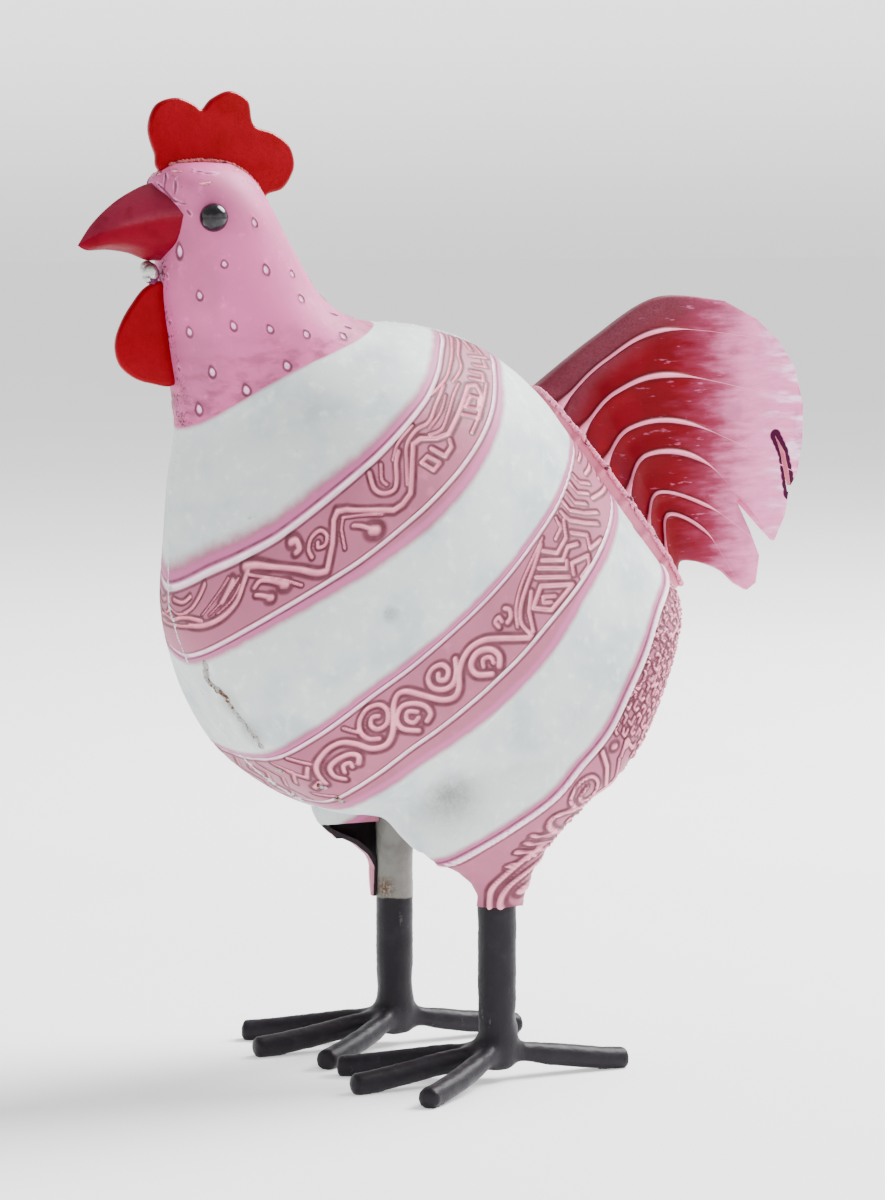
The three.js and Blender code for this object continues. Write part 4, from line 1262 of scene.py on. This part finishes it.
def leg_paint():
    finish = Finish("leg paint", roughness=0.4, specular=0.14)
    cloud, grain = finish.noise(8, 3), finish.noise(0.9, 3)
    scrape = finish.noise(2.5, 3, (1, 1, 0.15))
    finish.coat((28, 25, 30))
    finish.coat((46, 43, 50), cloud.rise(0.5, 0.8) * 0.6)
    finish.coat((8, 3, 9), grain.rise(0.6, 0.8) * 0.5)
    finish.coat((81, 79, 82), scrape.rise(0.66, 0.74) * grain.rise(0.45, 0.6) * 0.6)
    height, side = finish.axis("Z") * 1000, finish.axis("Y")
    # Grey on the far leg's upper tube under the belly: pale paint, partly darkened as painted
    # shade.
    grey_top = (height + (cloud - 0.5) * 2).rise(49.4, 50.2) * side.rise(0.01, 0.02)
    finish.coat((120, 120, 114), grey_top)
    finish.coat((90, 88, 84), grey_top * cloud.rise(0.4, 0.7) * 0.6)
    finish.coat((89, 59, 37), grey_top * finish.near((LEG_X - 5, 33, 53), 6) * grain.rise(0.4, 0.55))
    finish.bump(grain + cloud * 0.5, 0.16, 0.6)
    finish.vary("Roughness", 0.34 + cloud * 0.22)
    return finish.done()


def bare_solder():
    finish = Finish("solder", roughness=0.32, metallic=1.0)
    finish.coat((176, 176, 174))
    finish.coat((96, 90, 84), finish.noise(2, 3).rise(0.5, 0.8) * 0.7)
    finish.bump(finish.noise(1.2, 3), 0.4, 0.7)
    return finish.done()


# Paints over weld beads: main colour, shade, stain, and how much is stained
WELD_COLOURS = {
    "crack_weld": ((174, 175, 170), (118, 114, 109), (91, 59, 39), 0.12),
    "comb_weld": ((171, 83, 85), (119, 39, 49), (97, 1, 21), 0.06),
    "purple_weld": ((110, 34, 81), (86, 16, 61), (113, 101, 106), 0.02),
    "root_weld": ((237, 145, 175), (168, 100, 121), (90, 33, 50), 0.06),
    "seam_weld": ((221, 225, 225), (166, 171, 170), (118, 114, 109), 0),
}


def weld_paint(name):
    main, shade, stain, share = WELD_COLOURS[name]
    finish = Finish(name.replace("_", " "), roughness=0.5, specular=0.2)
    grain, fine = finish.noise(2.2, 3), finish.noise(0.8, 2)
    finish.coat(main)
    finish.coat(shade, fine.rise(0.4, 0.65) * 0.7)
    finish.coat(stain, grain.rise(0.62 - share, 0.72 - share))
    finish.bump(fine, 0.3, 0.7)
    return finish.done()


def eye_gloss():
    finish = Finish("eye gloss", roughness=0.16, specular=0.25, coat=0.22, coat_roughness=0.03)
    finish.coat((12, 10, 13))
    finish.coat((34, 28, 34), finish.noise(1.5, 2).rise(0.45, 0.7))
    return finish.done()


def stage_paint():
    finish = Finish(
        "pale stage", roughness=0.75, specular=0.1, glow=(1, 1, 1, 1), glow_strength=0.45
    )
    finish.coat((246, 246, 246))
    finish.coat((241, 241, 242), finish.noise(300, 2).rise(0.4, 0.7))
    return finish.done()


PAINTS = {
    "body_paint": body_paint,
    "beak_paint": beak_paint,
    "red_gloss": red_gloss,
    "tail_paint": tail_paint,
    "leg_paint": leg_paint,
    "solder": bare_solder,
    "eye_gloss": eye_gloss,
    "stage": stage_paint,
}
MATERIALS = {}


def material(name):
    """The finish of a material slot, made once."""
    if name not in MATERIALS:
        MATERIALS[name] = weld_paint(name) if name in WELD_COLOURS else PAINTS[name]()
    return MATERIALS[name]


# Pieces


# The mended crack in the breast's left side, as line and around, and lone lumps below it
CRACK = [
    (12.05, 0.058), (12.48, 0.045), (12.73, 0.07), (13.03, 0.077), (13.23, 0.08), (13.62, 0.095),
    (14, 0.098),
]
WELD_BITS = [(14.85, 0.088), (15.68, 0.135), (16.3, 0.13)]
# Beads on the seams of the two halves: name, last line, around, points and shift
SEAM_BEADS = [
    ("front_seam_beads", 17, 0, 200, (0.3, 0, 0.1)),
    ("back_seam_beads", 11.2, 1, 40, (0, 0, -0.2)),
]
CRACK_LIFT = 0.6
# Widths of a face in mm, and faces round half of the rump
NECK_STEP = 0.9
REAR_STEP = 0.8
REAR_COLUMNS = 220


def length(name, description, default):
    return FloatProperty(
        name=name, description=description, default=default, subtype="DISTANCE", unit="LENGTH"
    )


def number(name, description, default):
    return IntProperty(name=name, description=description, default=default)


class CockerelBodySettings(bpy.types.PropertyGroup):
    relief_step: length("Relief step", "Width of a face on the bands", 0.00052)
    plain_step: length("Plain step", "Width of a face between the bands", 0.0014)
    columns: number("Columns", "Faces round one half of the body", 300)
    blend: length("Blend", "Reach of the fillet between thigh and flank", 0.009)


class COCKEREL_OT_body(bpy.types.Operator):
    """Builds the body's skin in four lengths, with its bands of relief and its thighs"""

    bl_idname = "cockerel.body"
    bl_label = "Body"

    def execute(self, context):
        settings = context.scene.cockerel_body
        fine, plain = settings.relief_step / MM, settings.plain_step / MM
        neck = SKIN.lines(SEAMS[0], SEAMS[1], NECK_STEP)
        pieces = [skin_piece("body_neck", SEAMS[0], SEAMS[1], neck, settings.columns * 2 // 3)]
        breast = ((SEAMS[1], 9.6, plain), (9.6, 12.7, fine), (12.7, SEAMS[2], plain))
        middle = ((SEAMS[2], 14, plain), (14, SEAMS[3], fine))
        for name, spans in (("body_breast", breast), ("body_middle", middle)):
            first, last = spans[0][0], spans[-1][1]
            lines = np.concatenate([*(SKIN.lines(*span)[:-1] for span in spans), [last]])
            pieces.append(skin_piece(name, first, last, lines, settings.columns))
        pieces.append(self.rear(settings))
        for piece in pieces:
            finish_piece(piece, "body", "body_paint")
        line, around = between(CRACK, np.linspace(0, len(CRACK) - 1, 40)).T
        path = SKIN.point(line, around) + CRACK_LIFT * SKIN.normal(line, around)
        weld("breast_weld_beads", path)
        for count, (line, around) in enumerate(WELD_BITS, 1):
            ends = np.array([[line, line + 0.12], [around, around + 0.008]])
            weld(f"weld_bit_{count}", SKIN.point(*ends))
        for name, last, around, count, shift in SEAM_BEADS:
            line = np.linspace(SEAMS[1] + 0.15, last, count)
            weld(name, SKIN.point(line, 0 * line + around) + shift)
        return {"FINISHED"}

    def hollow_out(self, piece, cutter):
        """Takes a cutter out of the skin, whose new faces are marked as inner ones."""
        set_values(cutter, inner=1)
        return carve(piece, cutter, "DIFFERENCE")

    def rear(self, settings):
        """The rump and both thighs, which are half shells open towards each other."""
        lines = SKIN.lines(SEAMS[3], SEAMS[4], REAR_STEP)
        line, around = np.meshgrid(lines, np.linspace(0, 1, REAR_COLUMNS + 1), indexing="ij")
        rings = both_sides(SKIN.point(line, around))
        inside = rings[0].mean(0) + (30, 0, -6)
        piece = tube("body_rear", rings, [inside, RUMP])
        for side in (-1, 1):
            heights = np.arange(THIGH_HEM[side], THIGH[-1][0], REAR_STEP)
            piece = carve(piece, capped("thigh", thigh_rings(side, heights)), "UNION")
        self.smooth_flanks(piece, settings.blend / MM)
        points = points_of(piece)
        line, around = SKIN.locate(points)
        free = smooth_step(SEAMS[3] + 0.02, SEAMS[3] + 0.12, line)
        height, base = raised(describe(line, around, points), points), dents(points)
        height = base + (height - base) * free
        move_points(piece, points + vertex_normals(piece) * height[:, None])
        set_values(piece, inner=0)
        for side in (-1, 1):
            heights = np.arange(THIGH_HEM[side], BELLY, 1.5)
            rings = thigh_rings(side, heights, inset=SHEET, segments=60)
            below = rings[0].copy()
            below[:, 2] = THIGH_HEM[side] - SHEET
            hollow = capped("hollow", np.concatenate([below[None], rings]))
            centre = (LEG_X, side * LEG_SPACING / 2)
            bore = upright("bore", LEG_DIAMETER / 2 + GAP, LEG_FOOT, LEG_TOP + GAP, centre)
            for cutter in (hollow, bore):
                piece = self.hollow_out(piece, cutter)
        half = LEG_SPACING / 2 + GAP
        opening = [*FAR_OPENING, (FAR_OPENING[-1][0], 0), (FAR_OPENING[0][0], 0)]
        opening = np.array([[(x, y, z) for x, z in opening] for y in (1, half - 1.5)])
        for cutter in (
            box_piece("space", (-150, -half, 0), (150, half, BELLY)),
            box_piece("rim", *REAR_RIM),
            capped("wedge", opening),
        ):
            piece = self.hollow_out(piece, cutter)
        points = points_of(piece)
        x, y, z = points.T
        # The far shell's rim counts as inner too, so the painted shade of the hollow runs onto its
        # edge.
        rim = (y > 0) & (y < half + 0.1) & (z < BELLY + 0.2)
        inner = read(piece.data.attributes["inner"].data, "value", 1, np.float32)[:, 0]
        set_values(piece, inner=np.maximum(inner, rim))
        sharpen(piece)
        line, around = SKIN.locate(points)
        set_values(piece, **describe(line, around, points))
        piece.data.shade_smooth()
        return piece

    def smooth_flanks(self, piece, reach):
        """Fillets the corner where the thighs leave the body."""
        points, normals = points_of(piece), vertex_normals(piece)
        a, b = edge_ends(piece)
        turn = (normals[a] * normals[b]).sum(1)
        low = (points[:, 2] > 60) & (points[:, 2] < 112) & (np.abs(points[:, 1]) > 4)
        corner = (turn < 0.93) & low[a] & low[b]
        weight = np.zeros(len(points))
        weight[a[corner]] = weight[b[corner]] = 1
        for _ in range(int(reach / REAR_STEP)):
            spread = weight.copy()
            np.maximum.at(spread, a, weight[b] * 0.92)
            np.maximum.at(spread, b, weight[a] * 0.92)
            weight = spread
        line, _ = SKIN.locate(points)
        weight = weight * smooth_step(SEAMS[3] + 0.02, SEAMS[3] + 0.3, line) * (weight > 0.35)
        weight *= smooth_step(57, 62, points[:, 2])
        relax(piece, weight, 60)


class CockerelHeadSettings(bpy.types.PropertyGroup):
    rounding: length("Rounding", "Rounding of the cut plates' edges", 0.0013)
    beak_columns: number("Beak columns", "Faces round the beak", 48)


def plate_piece(name, outline, thickness, rounding):
    """A cut plate in the middle plane with rounded edges."""
    count = len(outline)
    closed = [*outline[-2:], *outline, *outline[:3]]
    line = between(closed, np.linspace(2, 2 + count, count * 8, endpoint=False))
    curve = bpy.data.curves.new(name, "CURVE")
    curve.dimensions = "2D"
    curve.fill_mode = "BOTH"
    curve.extrude = thickness / 2 - rounding
    curve.bevel_depth = rounding
    curve.bevel_resolution = 4
    curve.offset = -rounding
    spline = curve.splines.new("POLY")
    spline.points.add(len(line) - 1)
    for point, (x, z) in zip(spline.points, line):
        point.co = (x, z, 0, 1)
    spline.use_cyclic_u = True
    holder = add_object(name, curve)
    mesh = evaluated(holder)
    bpy.data.objects.remove(holder)
    piece = add_object(name, mesh)
    work = bmesh.new()
    work.from_mesh(mesh)
    bmesh.ops.remove_doubles(work, verts=work.verts, dist=1e-4)
    bmesh.ops.triangulate(work, faces=[face for face in work.faces if len(face.verts) > 4])
    work.to_mesh(mesh)
    work.free()
    x, z, y = read(mesh.vertices, "co").T
    move_points(piece, np.stack([x, y, z], 1))
    mesh.shade_smooth()
    return face_outwards(piece)


def ball(name, diameter, centre, segments=40):
    centre, angle = np.array(centre), circle(segments)
    rings = []
    for rise in np.linspace(0, np.pi, segments // 2 + 1)[1:-1]:
        x, y = np.sin(rise) * np.cos(angle), np.sin(rise) * np.sin(angle)
        unit = np.stack([x, y, np.full(segments, np.cos(rise))], 1)
        rings.append(centre + diameter / 2 * unit)
    tip = (0, 0, diameter / 2)
    return tube(name, rings, [centre + tip, centre - tip])


class COCKEREL_OT_head(bpy.types.Operator):
    """Builds the beak, comb, wattle, eyes and the blob of solder at the throat"""

    bl_idname = "cockerel.head"
    bl_label = "Head"

    def execute(self, context):
        settings = context.scene.cockerel_head
        rounding = settings.rounding / MM
        comb = plate_piece("comb_plate", COMB_OUTLINE, COMB_THICKNESS, rounding)
        finish_piece(comb, "comb", "red_gloss")
        for name, side in SIDES:
            path = [(x, side * (COMB_THICKNESS / 2 + 0.3), z) for x, z in COMB_FOOT]
            weld(f"{name}_comb_weld_beads", path)
        wattle = plate_piece("wattle_plate", WATTLE_OUTLINE, WATTLE_THICKNESS, rounding)
        finish_piece(wattle, "wattle", "red_gloss")
        finish_piece(self.beak(settings.beak_columns), "beak", "beak_paint")
        solder = ball("throat_solder_blob", SOLDER_DIAMETER, SOLDER)
        finish_piece(solder, "throat_solder", "solder")
        weld("throat_solder_lumps", np.array(SOLDER_LUMPS) + SOLDER)
        weld("wattle_stem_beads", [*(np.array(WATTLE_STEM) + SOLDER), (-100.6, 0, 252)])
        for name, side in SIDES:
            eye = ball(f"{name}_eye_bead", EYE_DIAMETER, (EYE[0], side * EYE[1], EYE[2]))
            finish_piece(eye, f"{name}_eye", "eye_gloss")
        return {"FINISHED"}

    def beak(self, columns):
        """A folded beak with a ridge on top and a crease along each side."""
        rings, upper, fold = [], [], []
        quarter = np.linspace(0, 2, columns // 4 + 1)
        for place in np.linspace(0.12, len(BEAK) - 1, BEAK_ROWS):
            top_x, top_z, side_x, side_z, half, low_x, low_z = between(BEAK, place)
            arc = np.array([
                [top_x, 0, top_z],
                [(top_x + side_x) / 2, 0.62 * half, top_z + 0.42 * (side_z - top_z)],
                [side_x, half, side_z],
                [(side_x + low_x) / 2, 0.7 * half, side_z + 0.62 * (low_z - side_z)],
                [low_x, 0, low_z],
            ])
            upper_arc, lower_arc = between(arc[:3], quarter), between(arc[2:], quarter)
            rings.append(np.concatenate([upper_arc[:-1], lower_arc]))
            share = np.linspace(0, 1, len(rings[-1]))
            upper.append(smooth_step(0.52, 0.4, share))
            fold.append(smooth_step(0.09, 0, np.abs(share - 0.47)) * smooth_step(1.2, 2.5, place))
        last = BEAK[-1]
        poles = [(BEAK_TIP[0], 0, BEAK_TIP[1]), (last[0] + 1, 0, (last[1] + last[6]) / 2)]
        rings, upper, fold = (both_sides(np.array(grid)) for grid in (rings, upper, fold))
        return tube("beak_fold", rings, poles, {"upper": upper, "fold": fold})


class CockerelTailSettings(bpy.types.PropertyGroup):
    rows: number("Rows", "Faces from root to rim", 90)
    per_line: number("Per feather", "Faces across one feather", 30)


def tail_middle(place, run):
    """Points of the tail's middle surface as x and z."""
    lines, rim_table = between(TAIL_LINES, place), np.array(TAIL_RIM)
    share, via = lines[..., 0], lines[..., 1:]
    top, low = np.array(TAIL_ROOT, float)
    root = top + share[..., None] * (low - top)
    rim = np.stack([np.interp(place, rim_table[:, 0], rim_table[:, k]) for k in (1, 2)], -1)
    stops = np.stack([root, via[..., :2], via[..., 2:], rim])
    at = run * 3
    low_row = np.clip(np.floor(at).astype(int), 0, 2)
    weights = curve_weights(at - low_row)
    total = 0
    index = np.indices(at.shape)
    for k, weight in enumerate(weights):
        chosen = np.clip(low_row + k - 1, 0, 3)
        total = total + weight[..., None] * stops[(chosen, *index)]
    return total


class COCKEREL_OT_tail(bpy.types.Operator):
    """Builds the tail's two pressed sheets with their ribs and the slit beside a feather"""

    bl_idname = "cockerel.tail"
    bl_label = "Tail"

    def execute(self, context):
        settings = context.scene.cockerel_tail
        last = len(TAIL_LINES) - 1
        corners = [row[0] for row in TAIL_RIM]
        places = np.linspace(0, last, last * settings.per_line + 1)
        places = np.unique(np.round(np.concatenate([places, corners]), 3))
        runs = np.linspace(0, 1, settings.rows + 1)
        place, run = np.meshgrid(places, runs)
        middle = tail_middle(place, run)
        line = np.round(place)
        across = np.abs(np.sin(np.pi * place / last)) ** 0.5
        outwards = (1 - run**2) * (TAIL_ROOT_SWELL + (1 - TAIL_ROOT_SWELL) * np.minimum(1, run * 4))
        full = (TAIL_THICKNESS - TAIL_EDGE) / 2
        inner = (line > 0) & (line < last)
        flare = TAIL_RIB_HALF + 0.1 * smooth_step(0.16, 0.02, run) + 0.02 * run
        ratio = np.where(inner, np.abs(place - line) / flare, 9)
        fade = smooth_step(0.78, 0.6, run)
        rib = TAIL_RIB_HEIGHT * ridge_height(ratio) * fade
        sag = TAIL_SAG * np.sin(np.pi * place) ** 2
        sag = sag * smooth_step(0.05, 0.3, run) * (1 - run**3)
        half = TAIL_EDGE / 2 + full * across * outwards + rib - sag * across
        half = np.maximum(half, 0.35)
        near = np.stack([middle[..., 0], -half, middle[..., 1]], -1)
        top, low = np.array(TAIL_ROOT, float)
        root_way = low - top
        inwards = np.array([root_way[1], 0, -root_way[0]]) / np.linalg.norm(root_way)
        near = np.concatenate([near[:1] + 4 * inwards, near])
        values = {
            "run": np.concatenate([run[:1], run]),
            "place": np.concatenate([place[:1], place]),
            "rib": np.concatenate([ratio[:1], np.minimum(ratio / np.maximum(fade, 0.1), 9)]),
        }
        piece = self.two_sheets(near, values)
        slit = [SLIT[0]]
        slit += [(x + TAIL_SLIT / 2, z) for x, z in SLIT[1:]]
        slit += [(x - TAIL_SLIT / 2, z) for x, z in SLIT[:0:-1]]
        cutter = capped("slit", np.array([[(x, y, z) for x, z in slit] for y in (-20, 20)]))
        set_values(cutter, run=0.9, place=2.5, rib=9)
        piece = carve(piece, cutter, "DIFFERENCE")
        piece.data.shade_smooth()
        sharpen(piece)
        finish_piece(piece, "tail", "tail_paint")
        for name, side in SIDES:
            path = near[1] * (1, -side, 1) + (0, side * 0.5, 0) - 0.4 * inwards
            weld(f"{name}_tail_weld_beads", path[::4])
        return {"FINISHED"}

    def two_sheets(self, near, values):
        height, width = near.shape[:2]
        ring = [*range(width), *range(2 * width - 1, height * width, width)]
        ring += [*range(height * width - 2, (height - 1) * width - 1, -1)]
        ring += [*range((height - 2) * width, 0, -width)]
        far = near * (1, -1, 1)
        points = np.concatenate([near.reshape(-1, 3), far.reshape(-1, 3)])
        count = height * width
        row, column = np.meshgrid(np.arange(height - 1), np.arange(width - 1), indexing="ij")
        corners = [row * width + column, row * width + column + 1]
        corners += [(row + 1) * width + column + 1, (row + 1) * width + column]
        quads = np.stack(corners, -1).reshape(-1, 4)
        faces = quads.tolist() + (quads[:, ::-1] + count).tolist()
        faces += [(b, a, a + count, b + count) for a, b in zip(ring, ring[1:] + ring[:1])]
        doubled = {key: np.tile(grid.ravel(), 2) for key, grid in values.items()}
        return face_outwards(add_mesh("tail_sheets", points, faces, doubled))


class CockerelLegSettings(bpy.types.PropertyGroup):
    segments: number("Segments", "Faces round a leg or a toe", 40)
    grain: length("Grain", "Width of a face on the welded feet", 0.0008)
    fillet: number("Fillet", "Rounds of smoothing at the ankle", 46)


# Toes: name, turn as a share of the spread, reach and sideways bend
TOES = (
    ("outer", -1, TOE_REACH, 0.8), ("middle", 0, TOE_REACH, -0.6), ("inner", 1, TOE_REACH, -1),
    ("rear", None, REAR_TOE_REACH, 0.6),
)


class COCKEREL_OT_legs(bpy.types.Operator):
    """Builds each leg with its four toes, welded into one at the ankle"""

    bl_idname = "cockerel.legs"
    bl_label = "Legs and toes"

    def execute(self, context):
        settings = context.scene.cockerel_legs
        radius, segments = LEG_DIAMETER / 2, settings.segments
        for name, side in SIDES:
            centre = (LEG_X, side * LEG_SPACING / 2)
            leg = upright(f"{name}_leg_and_toes", radius, LEG_FOOT, LEG_TOP, centre, segments)
            nodes = [f"{name}_leg"]
            for place, turn, reach, bend in TOES:
                angle = 180 if turn is None else side * turn * TOE_SPREAD
                toe = self.toe(f"toe_{place}", side, angle, reach, bend * side, segments)
                leg = carve(leg, toe, "UNION")
                nodes.append(f"{name}_toe_{place}")
            knob = ball("knob", 2 * radius + 1.2, (centre[0] + 0.6, centre[1], LEG_FOOT + 8.6))
            leg = carve(leg, knob, "UNION")
            spur = ball("spur", 3.4, (centre[0] + radius + 0.2, centre[1] + 1.4 * side, 17.4), 20)
            leg = carve(leg, spur, "UNION")
            remesh = leg.modifiers.new("Weld", "REMESH")
            remesh.mode = "VOXEL"
            remesh.voxel_size = settings.grain
            bake(leg)
            self.weld(leg, centre, settings.fillet)
            leg.data.shade_smooth()
            finish_piece(leg, nodes, "leg_paint")
        return {"FINISHED"}

    def weld(self, leg, centre, rounds):
        """Rounds the ankle as thick paint over a weld does, and keeps the feet on the floor."""
        points = points_of(leg)
        away = np.hypot(points[:, 0] - centre[0], points[:, 1] - centre[1])
        weight = smooth_step(19, 8, away) * smooth_step(30, 16, points[:, 2])
        relax(leg, weight, rounds)
        relax(leg, np.full(len(points), 0.6), 3)
        points = points_of(leg)
        rough = 0.1 * waves(points, 9, 8) + 0.05 * waves(points, 3, 9)
        low = smooth_step(0.3, 2, points[:, 2])
        points = points + vertex_normals(leg) * (rough * low - 0.1)[:, None]
        points[:, 2] = np.where(points[:, 2] < 0.35, 0, points[:, 2])
        move_points(leg, points)

    def toe(self, name, side, turn, reach, bend, segments):
        """A bent rod that slopes down from the ankle, rounded off where it ends."""
        radius = TOE_DIAMETER / 2
        tip = 0.5 * radius / reach
        stops = np.concatenate([np.linspace(0.02, 1, 16), 1 + tip * np.linspace(0.2, 1, 6)])
        share = np.minimum(stops, 1)
        long = reach - 0.5 * radius
        middle = np.stack([
            -long * stops,
            bend * np.sin(np.pi * share) + 0 * stops,
            radius - TOE_FLAT + (TOE_DROP + TOE_FLAT) * (1 - share) ** 1.25,
        ], 1)
        way = np.gradient(middle, axis=0)
        way /= np.linalg.norm(way, axis=1, keepdims=True)
        across = np.cross(way, (0, 0, 1))
        across /= np.linalg.norm(across, axis=1, keepdims=True)
        up = np.cross(across, way)
        end = np.clip((stops - 1) / tip, 0, 0.97)
        size = radius * (1 - end**2.4) ** 0.42
        angle = circle(segments)[None, :, None]
        spread = np.cos(angle) * across[:, None] + np.sin(angle) * up[:, None]
        rings = middle[:, None] + size[:, None, None] * spread
        poles = np.array([middle[0], middle[-1] + 0.15 * way[-1]])
        c, s = math.cos(math.radians(turn)), math.sin(math.radians(turn))
        spin = np.array([[c, -s, 0], [s, c, 0], [0, 0, 1]])
        shift = np.array([LEG_X, side * LEG_SPACING / 2, 0])
        rings, poles = rings @ spin.T + shift, poles @ spin.T + shift
        rings[..., 2] = np.maximum(rings[..., 2], 0)
        return tube(name, rings, poles)


def strength(name, description, default, unit="NONE"):
    return FloatProperty(name=name, description=description, default=default, unit=unit)


class CockerelStageSettings(bpy.types.PropertyGroup):
    key: strength("Key light", "Power of the key light", 175, "POWER")
    fill: strength("Fill light", "Power of each of the other lights", 2, "POWER")
    sky: strength("Surround", "Brightness at eye level", 2.3)
    far_floor: strength("Far floor", "Brightness where the floor ends", 1.3)
    ceiling: strength("Ceiling", "Brightness overhead", 0.7)


# Lights: setting, place and size in metres; all face the same point
LIGHTS = {
    "key light": ("key", (1.45, 0.1, 1.75), 1.5),
    "fill light": ("fill", (0.9, -1.7, 1), 0.9),
    "back light": ("fill", (0.4, 1.7, 1.1), 0.9),
}
LIGHT_TARGET = (0, 0, 0.15)
CAMERA_PLACE = (-0.68289, -1.2754, 0.27758)
CAMERA_TARGET = (-0.00475, 0, 0.1512)
CAMERA_LENS = 89.64
SENSOR_HEIGHT = 24
FLOOR_REACH = 20000


class COCKEREL_OT_stage(bpy.types.Operator):
    """Sets up the pale floor, the soft studio lights and the camera"""

    bl_idname = "cockerel.stage"
    bl_label = "Stage"

    def execute(self, context):
        settings = context.scene.cockerel_stage
        low, high = -FLOOR_REACH, FLOOR_REACH
        ends = [(low, low, 0), (high, low, 0), (high, high, 0), (low, high, 0)]
        floor = add_mesh("floor", ends, [(0, 1, 2, 3)], smooth=False)
        floor.data.materials.append(material("stage"))
        for name, (power, place, size) in LIGHTS.items():
            light = bpy.data.lights.new(name, "AREA")
            light.shape = "DISK"
            light.size = size
            light.energy = getattr(settings, power)
            self.aimed(name, light, place, LIGHT_TARGET)
        world = bpy.data.worlds.new("pale surround")
        world.use_nodes = True
        background = world.node_tree.nodes["Background"]
        background.inputs["Color"].default_value = (1, 1, 1, 1)
        surround = Nodes(world.node_tree)
        way = surround.node("ShaderNodeTexCoord").outputs["Generated"]
        rise = Value(surround, surround.node("ShaderNodeSeparateXYZ", None, {0: way}).outputs["Z"])
        low = settings.far_floor + rise.rise(-0.015, 0.05) * (settings.sky - settings.far_floor)
        strength = low - rise.rise(0.08, 0.5) * (settings.sky - settings.ceiling)
        world.node_tree.links.new(strength.socket, background.inputs["Strength"])
        context.scene.world = world
        camera = bpy.data.cameras.new("camera")
        camera.sensor_fit = "VERTICAL"
        camera.sensor_height = SENSOR_HEIGHT
        camera.lens = CAMERA_LENS
        camera = self.aimed("camera", camera, CAMERA_PLACE, CAMERA_TARGET)
        context.scene.camera = camera
        return {"FINISHED"}

    def aimed(self, name, data, place, target):
        """A light or camera at a place, turned to a target."""
        holder = add_object(name, data)
        holder.location = place
        way = Vector(target) - Vector(place)
        holder.rotation_euler = way.to_track_quat("-Z", "Y").to_euler()
        return holder


class COCKEREL_PT_panel(bpy.types.Panel):
    """The cockerel's pieces and their settings"""

    bl_idname = "COCKEREL_PT_panel"
    bl_label = "Cockerel"
    bl_space_type = "VIEW_3D"
    bl_region_type = "UI"
    bl_category = "Cockerel"

    def draw(self, context):
        for name in PARTS:
            box = self.layout.box()
            settings = getattr(context.scene, f"cockerel_{name}")
            for key in settings.bl_rna.properties.keys():
                if key not in ("rna_type", "name"):
                    box.prop(settings, key)
            box.operator(f"cockerel.{name}")


PARTS = {
    "body": (CockerelBodySettings, COCKEREL_OT_body),
    "head": (CockerelHeadSettings, COCKEREL_OT_head),
    "tail": (CockerelTailSettings, COCKEREL_OT_tail),
    "legs": (CockerelLegSettings, COCKEREL_OT_legs),
    "stage": (CockerelStageSettings, COCKEREL_OT_stage),
}
CLASSES = [cls for pair in PARTS.values() for cls in pair] + [COCKEREL_PT_panel]


def register():
    for cls in CLASSES:
        bpy.utils.register_class(cls)
    for name, (group, _) in PARTS.items():
        setattr(bpy.types.Scene, f"cockerel_{name}", PointerProperty(type=group))


def unregister():
    for name in PARTS:
        delattr(bpy.types.Scene, f"cockerel_{name}")
    for cls in reversed(CLASSES):
        bpy.utils.unregister_class(cls)


def plain(bounds):
    return [list(map(float, corner)) for corner in bounds]


def main():
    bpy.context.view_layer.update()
    register()
    bpy.ops.cockerel.stage()
    bpy.ops.cockerel.body()
    bpy.ops.cockerel.head()
    bpy.ops.cockerel.tail()
    bpy.ops.cockerel.legs()
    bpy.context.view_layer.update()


if __name__ == "__main__":
    main()
